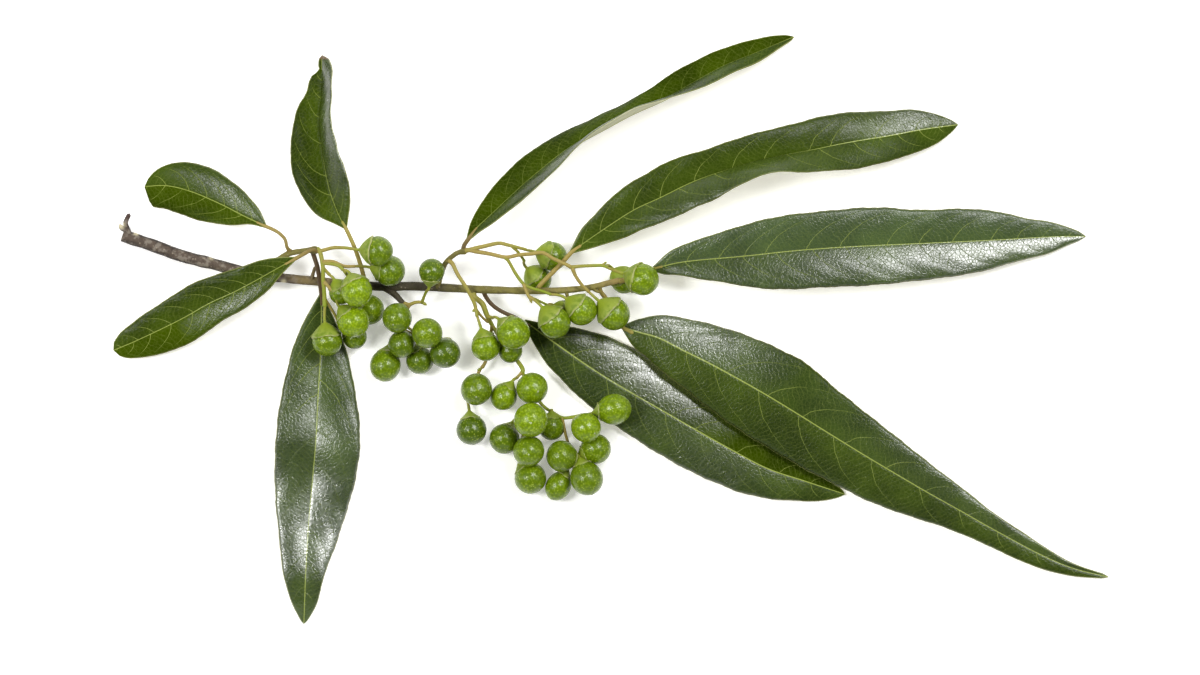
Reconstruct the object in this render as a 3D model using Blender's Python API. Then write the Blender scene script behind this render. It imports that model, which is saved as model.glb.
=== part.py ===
"""May chang sprig: a cut twig with nine leaves and 41 green berries, lying on a flat surface.

The surface is z = 0 and the origin lies under the middle of the sprig's box. +X runs from the
cut end of the twig to the long leaf tips, +Y is the side of the three upper leaves.
Plan points and heights below are millimetres. MM turns them into metres.
"""
import math

import bmesh
import bpy
import numpy as np

MM = 0.001

# Driving dimensions in millimetres
BLADE_THICKNESS = 0.6
MIDRIB_KEEL = 0.25
BLADE_ARCH = 0.05
CUP_LENGTH = 1.3
FRUIT_SIDES = 8
STALK_SIDES = 5
WOOD_SIDES = 6
TWIG_SIDES = 8
FLOOR = 0.0

# How many rings a stalk gets for each of its given points, and a blade in all
STATIONS_PER_POINT = 1.6
LEAF_STATIONS = 18

# Fractions of a half blade, from one margin over the midrib to the other
BLADE_COLUMNS = (-1.0, -0.6, -0.12, 0.0, 0.12, 0.6, 1.0)

# Berry with its cup, turned about the stalk's axis: (distance from the centre towards the stalk,
# distance from the axis), both over the berry's radius
FRUIT_PROFILE = (
    (1.30, 0.15), (1.04, 0.40), (0.76, 0.74), (0.43, 0.97), (0.35, 0.935),
    (-0.05, 1.0), (-0.55, 0.84), (-0.87, 0.49),
)

# The twig: x, y, height of its axis, radius
TWIG_AXIS = [
    (-87.7, 16.85, 1.03, 1.12), (-82.4, 15.1, 1.05, 1.12), (-77.4, 13.3, 1.2, 1.1),
    (-71.8, 11.85, 1.45, 1.05), (-64.3, 9.9, 1.8, 0.95), (-58.7, 9.2, 2.0, 0.85),
    (-52.6, 8.6, 2.4, 0.8), (-41.8, 7.7, 3.0, 0.8), (-35.1, 7.7, 3.3, 0.8),
    (-29.0, 7.4, 3.7, 0.75), (-20.0, 7.0, 4.5, 0.68), (-10.8, 6.9, 5.05, 0.6),
    (-4.1, 7.4, 5.3, 0.56), (-0.2, 8.3, 5.45, 0.54), (2.0, 8.8, 5.5, 0.54),
]

# What grows from the twig as wood: side shoots, the broken bud by the cut, scars and nubs
TWIG_BRANCHES = {
    "left_shoot": [
        (-66.6, 10.3, 1.9, 0.6), (-63.2, 10.9, 3.2, 0.58), (-59.9, 12.3, 4.4, 0.55),
        (-57.6, 13.6, 5.1, 0.52), (-54.7, 14.1, 5.7, 0.5), (-53.3, 14.3, 6.0, 0.52),
    ],
    "middle_shoot": [
        (-40.7, 7.6, 3.2, 0.7), (-39.4, 6.8, 3.1, 0.62), (-38.4, 6.0, 3.2, 0.56),
        (-37.5, 5.0, 3.4, 0.5), (-36.9, 4.5, 3.5, 0.46),
    ],
    "right_shoot": [
        (-31.1, 7.4, 3.7, 0.6), (-30.4, 9.7, 4.4, 0.5), (-29.5, 11.9, 5.4, 0.46),
        (-27.9, 13.4, 6.3, 0.44), (-26.5, 14.0, 6.9, 0.44),
    ],
    "bud": [
        (-86.3, 16.6, 1.35, 0.62), (-86.8, 17.9, 1.65, 0.52), (-87.1, 19.2, 1.95, 0.44),
        (-86.4, 20.8, 2.3, 0.42),
    ],
    "torn_bark": [(-87.1, 17.7, 1.5, 0.38), (-87.9, 18.3, 1.75, 0.45), (-88.2, 18.9, 1.9, 0.3)],
    "leaf_scar": [(-85.3, 16.0, 1.15, 0.62), (-85.2, 17.1, 1.45, 0.42)],
    "node_swelling": [(-72.2, 11.7, 1.6, 0.8), (-71.8, 12.8, 1.9, 0.45)],
    "outer_bump": [(-77.2, 13.0, 1.2, 0.7), (-77.0, 12.1, 1.0, 0.4)],
    "inner_bump": [(-58.9, 9.2, 2.0, 0.6), (-58.7, 8.4, 1.9, 0.32)],
    "spur": [(-53.8, 8.6, 2.6, 0.45), (-53.4, 9.9, 3.2, 0.33), (-53.0, 11.3, 3.5, 0.28)],
    "first_nub": [(-7.9, 6.8, 5.1, 0.4), (-7.6, 5.9, 5.0, 0.3), (-7.2, 5.6, 5.0, 0.18)],
    "second_nub": [(-3.2, 7.4, 5.3, 0.4), (-2.3, 6.8, 5.3, 0.3), (-1.6, 6.6, 5.3, 0.15)],
}

# Each spray: its stalks as x, y, height, radius, and its berries.
# A berry is: centre x, y, z, radius, length over width, the way to its stalk as a compass angle
# and a rise above level, both in degrees, and the point on a stalk that its own stalk leaves.
SPRAYS = {
    "spray_left": {
        "stalks": [
            [(-52.2, 14.0, 6.5, 0.36), (-49.7, 14.6, 7.1, 0.33), (-47.7, 14.6, 7.9, 0.3),
             (-46.1, 14.4, 8.7, 0.28)],
            [(-52.2, 14.2, 6.4, 0.42), (-51.6, 11.7, 6.9, 0.4), (-51.5, 9.0, 6.6, 0.38),
             (-51.3, 6.3, 6.2, 0.38), (-51.2, 3.8, 6.0, 0.4)],
            [(-51.6, 12.1, 6.9, 0.36), (-49.7, 12.1, 7.1, 0.33), (-47.7, 11.3, 6.9, 0.3),
             (-45.4, 11.3, 6.6, 0.25)],
            [(-51.6, 11.9, 6.9, 0.33), (-49.0, 11.5, 7.6, 0.33), (-47.7, 10.5, 8.3, 0.33)],
            [(-51.5, 11.0, 6.8, 0.3), (-50.2, 9.6, 6.4, 0.28)],
            [(-51.4, 8.5, 6.6, 0.32), (-50.0, 7.0, 6.8, 0.3), (-49.0, 5.4, 7.0, 0.3)],
            [(-47.7, 10.5, 8.3, 0.28), (-46.8, 9.0, 6.2, 0.26), (-45.7, 7.0, 4.6, 0.25)],
            [(-51.3, 5.6, 6.1, 0.28), (-49.9, 3.4, 5.0, 0.26), (-48.8, 1.4, 4.2, 0.25)],
        ],
        "berries": [
            (-41.6, 14.0, 9.4, 2.7, 1.0, 176, -10, (-46.3, 14.4, 8.6)),
            (-39.6, 10.5, 5.6, 2.82, 1.0, 170, 10, (-45.6, 11.3, 6.6)),
            (-48.3, 6.6, 5.6, 2.2, 1.0, 118, 20, (-50.3, 9.7, 6.4)),
            (-45.4, 6.8, 9.7, 2.82, 1.0, 112, -20, (-47.8, 10.6, 8.2)),
            (-43.3, 3.5, 2.6, 2.72, 1.0, 135, 20, (-45.8, 7.2, 4.7)),
            (-46.1, 1.4, 7.1, 2.9, 1.0, 133, -5, (-49.1, 5.6, 7.0)),
            (-50.8, -2.2, 5.4, 2.68, 1.0, 97, 5, (-51.2, 4.0, 6.0)),
            (-45.9, -1.4, 3.0, 2.2, 1.0, 140, 15, (-48.9, 1.6, 4.3)),
        ],
    },
    "spray_middle": {
        "stalks": [
            [(-36.1, 4.4, 3.6, 0.36), (-35.0, 4.8, 3.7, 0.3), (-33.8, 4.8, 3.8, 0.3),
             (-32.9, 4.3, 3.8, 0.24)],
            [(-33.8, 4.8, 3.8, 0.28), (-33.3, 6.1, 5.0, 0.26), (-32.8, 7.1, 6.2, 0.26)],
            [(-36.1, 4.4, 3.6, 0.36), (-36.9, 2.7, 3.3, 0.34), (-37.3, 0.5, 2.6, 0.32),
             (-36.4, -2.2, 1.5, 0.3)],
            [(-37.1, -0.2, 2.4, 0.3), (-34.2, -1.3, 1.8, 0.28), (-31.5, -1.5, 1.4, 0.26)],
        ],
        "berries": [
            (-32.0, 10.4, 7.2, 2.3, 1.0, 261, -10, (-32.9, 6.9, 6.0)),
            (-38.2, 2.0, 7.0, 2.7, 1.0, 60, -60, (-36.9, 2.9, 3.3)),
            (-32.8, -0.7, 7.6, 2.75, 1.0, 180, -63, (-37.2, 1.0, 2.8)),
            (-37.4, -2.7, 4.95, 2.45, 1.0, 166, -73, (-37.2, -0.4, 2.3)),
            (-34.2, -5.6, 2.2, 2.5, 1.0, 110, 5, (-36.5, -2.0, 1.6)),
            (-29.6, -4.3, 4.8, 2.75, 1.0, 100, -50, (-31.8, -1.5, 1.4)),
            (-40.4, -6.5, 2.45, 2.75, 1.08, 80, -15, (-36.9, -1.2, 1.9)),
        ],
    },
    "spray_right": {
        "stalks": [
            [(-25.3, 14.2, 7.6, 0.42), (-22.9, 14.8, 8.1, 0.38), (-20.0, 15.4, 8.6, 0.34),
             (-18.4, 15.1, 8.6, 0.33), (-17.1, 14.8, 8.4, 0.3), (-14.8, 14.2, 7.2, 0.26)],
            [(-17.5, 14.8, 8.4, 0.28), (-16.4, 13.7, 7.4, 0.26), (-15.3, 12.1, 5.6, 0.25)],
            [(-25.3, 14.2, 7.6, 0.42), (-23.9, 13.9, 7.8, 0.4), (-21.6, 13.5, 8.0, 0.36),
             (-18.7, 12.9, 8.1, 0.36), (-16.4, 13.3, 8.2, 0.34), (-14.2, 13.5, 8.4, 0.34),
             (-12.1, 13.7, 8.6, 0.34), (-10.1, 12.6, 8.7, 0.34), (-8.1, 11.7, 8.6, 0.34),
             (-6.8, 11.0, 8.4, 0.36)],
            [(-7.0, 11.1, 8.4, 0.34), (-5.2, 11.3, 8.3, 0.3), (-2.9, 11.4, 8.2, 0.3),
             (-1.3, 11.4, 8.1, 0.3), (-0.2, 11.0, 8.0, 0.28)],
            [(-1.4, 11.4, 8.1, 0.25), (-0.6, 12.1, 8.3, 0.16)],
            [(-6.8, 11.0, 8.4, 0.34), (-6.1, 9.4, 7.9, 0.32), (-5.0, 7.9, 7.4, 0.3),
             (-3.6, 6.5, 7.0, 0.3)],
            [(-18.9, 12.9, 8.1, 0.32), (-18.2, 12.2, 8.0, 0.3), (-16.9, 9.9, 7.6, 0.3),
             (-15.5, 8.1, 7.5, 0.3), (-14.2, 7.4, 7.4, 0.28), (-12.1, 6.8, 7.4, 0.28),
             (-10.3, 6.1, 7.5, 0.26)],
            [(-15.5, 8.1, 7.5, 0.3), (-14.8, 6.3, 7.7, 0.3), (-14.3, 5.4, 7.8, 0.28),
             (-14.0, 4.6, 7.8, 0.18)],
            [(-14.6, 5.9, 7.7, 0.28), (-13.5, 5.2, 8.1, 0.26)],
            [(-14.6, 5.9, 7.7, 0.24), (-12.6, 5.0, 7.0, 0.22), (-11.0, 4.2, 6.0, 0.22)],
        ],
        "berries": [
            (-10.3, 13.1, 4.4, 2.59, 1.0, 166, 20, (-15.0, 14.2, 7.2)),
            (-12.9, 9.0, 2.2, 2.43, 1.0, 136, 25, (-15.4, 12.3, 5.8)),
            (2.5, 8.8, 2.2, 2.43, 1.0, 134, 30, (-0.6, 11.2, 8.0)),
            (5.9, 8.9, 8.2, 2.9, 1.0, 163, -17, (-0.4, 11.0, 8.0)),
            (-9.9, 1.2, 8.2, 2.85, 1.0, 130, 5, (-13.7, 5.3, 8.0)),
            (-5.1, 3.4, 7.4, 2.75, 1.0, 143, 5, (-10.5, 6.2, 7.5)),
            (0.7, 2.7, 6.4, 2.9, 1.0, 139, 10, (-3.8, 6.7, 7.0)),
            (-8.3, 3.2, 3.5, 2.0, 1.0, 150, 30, (-11.2, 4.3, 6.1)),
        ],
    },
    "spray_hanging": {
        "stalks": [
            [(-28.2, 11.6, 6.3, 0.38), (-27.4, 9.9, 6.6, 0.36), (-25.9, 7.6, 6.8, 0.34),
             (-24.5, 5.0, 6.4, 0.34), (-24.1, 3.6, 6.2, 0.32), (-23.8, 2.0, 6.2, 0.28)],
            [(-24.1, 3.7, 6.2, 0.25), (-24.7, 3.1, 6.1, 0.18)],
            [(-24.1, 3.6, 6.2, 0.25), (-23.0, 2.2, 5.0, 0.24), (-21.8, 1.1, 3.7, 0.24)],
            [(-24.3, 5.8, 4.15, 0.46), (-22.9, 4.5, 4.4, 0.5), (-22.1, 2.5, 4.0, 0.46),
             (-20.9, 0.2, 3.0, 0.36), (-18.9, -2.9, 1.7, 0.36), (-16.9, -5.4, 1.8, 0.38),
             (-15.7, -7.2, 2.6, 0.42), (-15.9, -8.1, 2.7, 0.36)],
            [(-22.0, 2.3, 3.9, 0.3), (-20.9, 2.0, 5.2, 0.28)],
            [(-21.2, 0.7, 3.3, 0.32), (-21.7, -2.5, 2.5, 0.3), (-22.3, -5.6, 2.4, 0.3),
             (-23.2, -7.2, 2.5, 0.32)],
            [(-23.2, -7.1, 2.5, 0.25), (-23.9, -7.4, 2.6, 0.16)],
            [(-23.4, -7.4, 2.4, 0.25), (-25.0, -9.9, 1.2, 0.23), (-25.8, -12.4, 1.4, 0.23)],
            [(-15.8, -7.7, 2.7, 0.28), (-16.9, -8.9, 2.8, 0.26)],
            [(-15.8, -7.7, 2.6, 0.34), (-14.9, -9.5, 1.9, 0.32), (-13.7, -11.7, 1.3, 0.3),
             (-11.9, -13.9, 1.7, 0.3), (-10.4, -14.9, 3.0, 0.3), (-8.6, -15.9, 3.3, 0.3),
             (-6.7, -15.8, 3.4, 0.32), (-4.7, -15.3, 3.6, 0.28)],
            [(-8.6, -15.9, 3.3, 0.28), (-8.1, -18.4, 3.1, 0.27), (-7.6, -20.2, 2.6, 0.26),
             (-6.7, -22.0, 1.8, 0.26), (-5.8, -23.2, 2.3, 0.28)],
            [(-13.3, -12.2, 1.3, 0.28), (-14.9, -16.0, 2.4, 0.28), (-15.7, -19.3, 2.0, 0.27),
             (-16.6, -22.9, 1.9, 0.26)],
        ],
        "berries": [
            (-22.3, -3.1, 6.0, 2.6, 1.0, 105, 5, (-23.8, 2.2, 6.2)),
            (-17.3, -0.7, 8.2, 3.0, 1.0, 137, -20, (-21.1, 2.0, 5.0)),
            (-17.9, -3.9, 4.1, 2.2, 1.0, 124, 10, (-21.0, 0.5, 3.2)),
            (-24.0, -10.8, 4.6, 2.85, 1.04, 90, -63, (-23.2, -7.0, 2.4)),
            (-19.1, -12.1, 3.0, 2.4, 1.05, 60, 10, (-16.8, -8.8, 2.8)),
            (-14.0, -10.6, 5.0, 2.84, 1.0, 150, -65, (-15.2, -8.9, 2.1)),
            (-24.9, -18.1, 2.4, 2.7, 1.0, 97, -5, (-25.8, -12.2, 1.4)),
            (-19.0, -19.7, 2.4, 2.74, 1.0, 63, -15, (-14.9, -16.0, 2.4)),
            (-14.2, -16.3, 7.6, 3.1, 1.0, 90, -80, (-14.9, -16.0, 2.4)),
            (-10.5, -17.6, 2.5, 2.4, 1.0, 90, 15, (-10.4, -14.8, 3.0)),
            (-14.6, -21.9, 5.5, 2.8, 1.0, 90, -78, (-15.9, -20.0, 2.0)),
            (-14.3, -26.8, 2.5, 2.84, 1.0, 125, -10, (-16.6, -22.7, 1.9)),
            (-8.7, -22.8, 4.2, 2.8, 1.0, 350, -20, (-6.0, -23.0, 2.2)),
            (-9.3, -28.2, 2.0, 2.25, 1.22, 60, 0, (-5.9, -23.1, 2.3)),
            (-4.2, -26.8, 4.6, 2.95, 1.06, 110, -10, (-5.8, -23.1, 2.3)),
            (-4.3, -17.7, 6.5, 2.7, 1.0, 148, -48, (-6.7, -15.8, 3.4)),
            (-2.6, -21.5, 2.9, 2.78, 1.0, 205, 0, (-5.9, -23.1, 2.3)),
            (0.7, -14.4, 5.5, 2.8, 1.12, 191, -10, (-4.9, -15.4, 3.6)),
        ],
    },
}

# Each leaf: petiole as x, y, height, radius; midrib as x, y, height from base to tip; then the
# margins on the left and on the right of someone who walks from base to tip, at stations from
# 0 at the base to 1 at the tip: how far the margin lies out from the midrib and how high above it.
LEAVES = {
    "leaf_a": {
        "petiole": [(-53.6, 14.2, 7.2, 0.36), (-55.3, 13.3, 7.2, 0.36), (-56.9, 12.4, 6.8, 0.36),
                    (-58.5, 11.5, 6.5, 0.3)],
        "midrib": [(-56.5, 12.7, 6.9), (-66.2, 7.35, 5.2), (-72.1, 4.6, 4.0), (-77.1, 1.8, 2.8),
                   (-84.6, -1.8, 1.3), (-89.3, -3.8, 0.3)],
        "left": [(0, 0.35, 0), (0.09, 1.3, 0.3), (0.17, 2.4, 0.5), (0.3, 3.4, 0.6), (0.45, 3.9, 0.6),
                 (0.6, 4.5, 0.5), (0.7, 4.5, 0.4), (0.8, 4.0, 0.3), (0.91, 2.9, 0.2), (0.97, 1.8, 0.1),
                 (1, 0.7, 0)],
        "right": [(0, 0.35, 0), (0.06, 1.5, 0.3), (0.15, 2.8, 0.6), (0.24, 3.4, 0.7), (0.39, 4.2, 0.8),
                  (0.5, 4.6, 0.8), (0.7, 4.2, 0.6), (0.84, 3.4, 0.4), (0.95, 2.2, 0.1), (1, 0.9, 0)],
    },
    "leaf_b": {
        "petiole": [(-58.0, 14.7, 5.9, 0.33), (-58.4, 16.2, 6.0, 0.33), (-59.8, 17.5, 5.8, 0.33),
                    (-61.9, 18.5, 5.4, 0.33), (-63.7, 19.3, 5.0, 0.28)],
        "midrib": [(-61.9, 18.5, 5.4), (-66.1, 20.5, 4.6), (-69.8, 22.4, 3.6), (-75.2, 24.7, 2.2),
                   (-79.7, 25.8, 1.3), (-83.7, 25.7, 0.3)],
        "left": [(0, 0.35, 0), (0.12, 1.0, 0.1), (0.24, 2.6, 0.3), (0.46, 4.2, 0.5), (0.62, 4.5, 0.5),
                 (0.8, 4.2, 0.4), (0.94, 3.8, 0.2), (0.965, 3.5, 0.1), (0.975, 2.6, 0.1), (1, 2.3, 0)],
        "right": [(0, 0.35, 0), (0.05, 1.4, 0.1), (0.1, 2.3, 0.2), (0.22, 3.5, 0.4), (0.43, 4.8, 0.7),
                  (0.59, 5.2, 0.7), (0.73, 4.8, 0.5), (0.85, 3.7, 0.3), (0.95, 1.9, 0.1), (1, 0.6, 0)],
    },
    "leaf_c": {
        "petiole": [(-44.0, 8.6, 4.35, 0.4), (-45.0, 12.2, 4.9, 0.4), (-46.1, 15.2, 5.3, 0.38),
                    (-47.5, 18.2, 5.3, 0.36), (-48.2, 19.6, 5.1, 0.3)],
        "midrib": [(-47.5, 18.2, 5.3), (-48.6, 20.3, 5.0), (-50.0, 23.9, 4.3), (-50.9, 27.4, 3.5),
                   (-51.9, 33.5, 2.2), (-52.2, 38.0, 1.4), (-51.8, 42.1, 0.9), (-51.8, 49.3, 0.3)],
        "left": [(0, 0.35, 0), (0.05, 1.5, 0.2), (0.1, 3.1, 0.3), (0.21, 4.8, -0.2), (0.32, 5.8, -0.5),
                 (0.41, 6.0, -0.5), (0.58, 5.1, -0.3), (0.72, 3.8, -0.1), (0.8, 2.8, 0.1), (0.86, 2.3, 0.1),
                 (0.892, 1.7, 0.1), (0.91, 0.75, -0.1), (0.95, 0.7, -0.2), (1, 0.5, 0)],
        "right": [(0, 0.35, 0), (0.05, 1.5, 0.6), (0.14, 2.9, 1.9), (0.28, 3.7, 3.6), (0.43, 2.9, 4.6),
                  (0.63, 2.0, 4.4), (0.77, 1.9, 3.7), (0.86, 1.9, 2.6), (0.95, 1.7, 1.2), (1, 0.9, 0.1)],
    },
    "leaf_d": {
        "petiole": [(-53.2, 13.2, 5.3, 0.42), (-52.6, 11.3, 5.0, 0.42), (-52.2, 9.0, 4.4, 0.42),
                    (-51.9, 6.3, 3.3, 0.4), (-51.9, 4.1, 2.7, 0.32)],
        "midrib": [(-51.9, 6.3, 3.3), (-52.0, -2.2, 1.5), (-52.5, -11.9, 1.9), (-52.9, -20.2, 2.6),
                   (-53.5, -27.0, 1.4), (-54.2, -34.6, 1.5), (-54.7, -43.4, 3.0), (-54.9, -48.3, 2.1),
                   (-55.1, -53.0, 0.3)],
        "left": [(0, 0.35, 0), (0.07, 2.2, -0.2), (0.16, 4.5, -0.7), (0.28, 6.5, -0.3), (0.37, 7.6, 0.3),
                 (0.45, 8.0, 0.4), (0.55, 7.7, 0.5), (0.65, 6.6, -0.2), (0.76, 5.0, -0.6),
                 (0.85, 3.3, -0.4), (0.94, 2.1, -0.1), (1, 0.4, 0)],
        "right": [(0, 0.35, 0), (0.07, 2.7, 0.3), (0.15, 4.7, 0.6), (0.25, 6.0, 0.7), (0.42, 7.2, 0.7),
                  (0.51, 7.1, 0.7), (0.63, 6.3, 0.5), (0.73, 5.2, 0.4), (0.84, 4.1, 0.2), (0.93, 2.4, 0.1),
                  (1, 0.4, 0)],
    },
    "leaf_e": {
        "petiole": [(-26.2, 15.0, 7.4, 0.4), (-25.6, 15.9, 7.8, 0.4), (-24.9, 16.8, 8.1, 0.38),
                    (-23.6, 18.4, 8.4, 0.3)],
        "midrib": [(-25.5, 16.1, 7.9), (-23.8, 18.2, 8.4), (-21.1, 20.7, 8.9), (-15.5, 25.9, 9.3),
                   (-9.7, 30.7, 9.2), (-5.9, 33.3, 8.9), (-0.2, 36.4, 8.3), (4.1, 38.7, 7.6),
                   (9.9, 41.3, 6.4), (14.6, 44.0, 5.2), (20.3, 47.2, 3.7), (26.8, 49.9, 2.0),
                   (33.1, 52.6, 0.3)],
        "left": [(0, 0.35, 0), (0.05, 1.9, -0.3), (0.09, 2.8, -0.5), (0.16, 3.6, -0.8), (0.24, 3.9, -1.2),
                 (0.31, 3.6, -2.2), (0.38, 3.1, -3.4), (0.46, 2.7, -3.8), (0.53, 2.5, -3.8),
                 (0.59, 2.8, -3.2), (0.65, 3.3, -2.2), (0.72, 3.4, -1.4), (0.8, 3.1, -0.8),
                 (0.88, 2.6, -0.4), (0.96, 1.5, -0.1), (1, 0.4, 0)],
        "right": [(0, 0.35, 0), (0.07, 1.4, 1.4), (0.15, 1.8, 3.0), (0.22, 2.0, 3.6), (0.31, 1.6, 4.1),
                  (0.37, 0.6, 4.3), (0.42, -0.4, 4.3), (0.5, -0.6, 4.2), (0.57, -0.5, 4.1),
                  (0.63, 0.2, 3.8), (0.69, 1.2, 3.2), (0.75, 1.8, 2.7), (0.83, 1.8, 2.1), (0.9, 1.6, 1.4),
                  (0.96, 0.9, 0.6), (1, 0.4, 0)],
    },
    "leaf_f": {
        "petiole": [(-12.6, 7.8, 6.05, 0.42), (-11.1, 9.4, 6.4, 0.42), (-8.6, 11.9, 7.1, 0.42),
                    (-6.8, 13.9, 7.6, 0.4), (-5.0, 15.1, 7.8, 0.3)],
        "midrib": [(-7.0, 13.8, 7.6), (-2.0, 17.3, 8.0), (4.0, 21.2, 8.6), (9.1, 23.6, 9.0),
                   (15.1, 26.5, 9.3), (21.1, 28.6, 9.3), (27.4, 30.4, 8.8), (35.6, 32.0, 7.4),
                   (42.8, 33.5, 5.8), (50.0, 34.7, 4.0), (56.3, 35.9, 2.3), (62.6, 36.8, 0.3)],
        "left": [(0, 0.35, 0), (0.05, 2.3, 0.3), (0.1, 3.2, 0.4), (0.17, 4.3, 0.5), (0.24, 5.0, 0.5),
                 (0.31, 5.2, 0.5), (0.37, 4.7, 1.2), (0.45, 4.8, 1.0), (0.58, 5.2, 0.5), (0.68, 5.6, 0),
                 (0.75, 5.3, -0.6), (0.82, 4.6, -0.9), (0.91, 3.5, -0.7), (0.96, 2.0, -0.3), (1, 0.4, 0)],
        "right": [(0, 0.35, 0), (0.05, 1.7, 0.6), (0.11, 3.1, 1.0), (0.2, 4.0, 1.5), (0.3, 4.4, 1.9),
                  (0.38, 4.3, 2.4), (0.45, 3.2, 3.6), (0.51, 2.8, 4.0), (0.59, 3.5, 3.3), (0.66, 4.3, 2.2),
                  (0.73, 4.9, 1.1), (0.8, 4.6, 0.6), (0.87, 4.0, 0.3), (0.94, 2.9, 0.1), (1, 0.4, 0)],
    },
    "leaf_g": {
        "petiole": [(3.1, 8.9, 5.6, 0.42), (4.0, 9.4, 5.0, 0.42), (5.0, 10.0, 4.3, 0.42),
                    (6.3, 10.5, 4.0, 0.4), (7.7, 10.9, 4.05, 0.36), (9.7, 11.3, 4.3, 0.28)],
        "midrib": [(7.6, 10.8, 4.05), (13.3, 12.1, 4.8), (23.9, 13.1, 5.6), (34.4, 14.2, 5.7),
                   (45.0, 14.9, 5.2), (58.1, 15.5, 4.0), (68.8, 16.0, 2.7), (79.4, 16.6, 1.2),
                   (85.6, 16.7, 0.3)],
        "left": [(0, 0.35, 0), (0.05, 2.4, 0.4), (0.11, 3.7, 0.6), (0.18, 5.0, 0.8), (0.28, 6.3, 0.9),
                 (0.4, 6.7, 0.9), (0.53, 6.8, 0.7), (0.61, 6.1, 0.6), (0.74, 5.8, 0.4), (0.81, 4.9, 0.3),
                 (0.86, 3.7, 0.2), (0.92, 2.7, 0.1), (0.97, 1.4, 0), (1, 0.4, 0)],
        "right": [(0, 0.35, 0), (0.02, 1.4, 0.1), (0.05, 2.1, 0.3), (0.1, 3.3, 0.5), (0.17, 4.6, 0.8),
                  (0.22, 5.7, 1.0), (0.3, 6.8, 1.2), (0.4, 7.0, 1.3), (0.52, 7.1, 1.3),
                  (0.6, 6.7, 1.1), (0.66, 6.4, 1.0), (0.75, 5.6, 0.8), (0.83, 4.2, 0.5),
                  (0.92, 2.8, 0.2), (0.97, 1.3, 0.1), (1, 0.4, 0)],
    },
    "leaf_h": {
        "petiole": [(-22.3, 5.8, 3.5, 0.4), (-21.1, 4.3, 3.0, 0.4), (-19.3, 3.1, 2.6, 0.38),
                    (-16.6, 1.9, 2.35, 0.36), (-14.0, 0.4, 2.2, 0.28)],
        "midrib": [(-15.4, 1.5, 2.3), (-10.3, -2.2, 2.3), (-1.4, -8.3, 2.2), (11.2, -15.7, 2.0),
                   (22.9, -22.3, 1.7), (28.6, -25.2, 1.4), (34.6, -27.2, 1.0), (42.3, -29.7, 0.3)],
        "left": [(0, 0.35, 0), (0.05, 1.8, -0.2), (0.13, 4.6, -0.6), (0.2, 6.2, -1.0), (0.27, 7.0, -1.2),
                 (0.38, 7.0, -1.3), (0.5, 6.7, -1.3), (0.65, 6.0, -1.0), (0.78, 4.6, -0.6),
                 (0.88, 3.0, -0.3), (0.95, 1.6, 0), (1, 0.4, 0)],
        "right": [(0, 0.35, 0), (0.05, 2.1, -0.1), (0.11, 3.8, -0.3), (0.17, 4.7, -0.4), (0.28, 6.0, -0.6),
                  (0.37, 6.6, -0.7), (0.52, 7.1, -0.8), (0.6, 7.0, -0.7), (0.67, 6.6, -0.6),
                  (0.73, 6.1, -0.5), (0.8, 5.1, -0.3), (0.87, 4.0, -0.1), (0.95, 2.3, 0), (1, 0.4, 0)],
    },
    "leaf_i": {
        "petiole": [(-1.7, 6.8, 4.4, 0.42), (-0.7, 5.4, 3.3, 0.42), (0.5, 3.1, 2.7, 0.4),
                    (1.8, 0.7, 3.1, 0.38), (4.3, -0.8, 3.5, 0.3)],
        "midrib": [(2.2, 0.4, 3.1), (5.4, -0.6, 3.5), (8.8, -1.6, 3.8), (13.5, -4.0, 4.2),
                   (18.9, -6.7, 4.4), (28.6, -12.1, 4.4), (40.3, -19.3, 3.9), (47.0, -23.4, 3.5),
                   (56.0, -28.7, 2.9), (62.6, -32.4, 2.4), (69.7, -36.4, 1.9), (77.4, -40.5, 1.3),
                   (83.3, -43.0, 0.9), (89.7, -44.6, 0.3)],
        "left": [(0, 0.35, 0), (0.015, 1.6, -0.1), (0.05, 3.6, -0.4), (0.1, 5.4, -1.2), (0.16, 6.8, -1.6),
                 (0.22, 7.8, -1.2), (0.28, 8.4, -0.1), (0.33, 8.5, 0.7), (0.37, 7.8, 0.8), (0.45, 6.8, 0.7),
                 (0.54, 5.7, 0.6), (0.62, 4.6, 0.5), (0.68, 3.8, 0.4), (0.75, 2.7, 0.3), (0.83, 2.0, 0.2),
                 (0.93, 0.9, 0.1), (1, 0.35, 0)],
        "right": [(0, 0.35, 0), (0.03, 2.8, -0.3), (0.08, 4.6, -0.6), (0.13, 5.6, -0.8), (0.19, 6.9, -1.1),
                  (0.27, 7.9, -1.4), (0.35, 8.1, -1.5), (0.42, 7.8, -1.5), (0.5, 7.2, -1.4),
                  (0.56, 6.6, -1.2), (0.62, 5.5, -1.0), (0.69, 4.1, -0.6), (0.75, 3.3, -0.4),
                  (0.81, 2.9, -0.2), (0.88, 2.3, -0.1), (0.95, 1.2, 0), (1, 0.35, 0)],
    },
}

# Surface colours: red, green, blue in linear light, then roughness
BARK = ((0.16, 0.11, 0.07), 0.8)
STALK_AND_BERRY = ((0.17, 0.29, 0.03), 0.35)
LEAF = ((0.025, 0.065, 0.012), 0.3)


def clear_scene():
    """Removes every object of the open scene."""
    for thing in list(bpy.data.objects):
        bpy.data.objects.remove(thing)


def unit(rows):
    """Scales each row of an array to length one."""
    return rows / np.linalg.norm(rows, axis=-1, keepdims=True)


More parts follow.
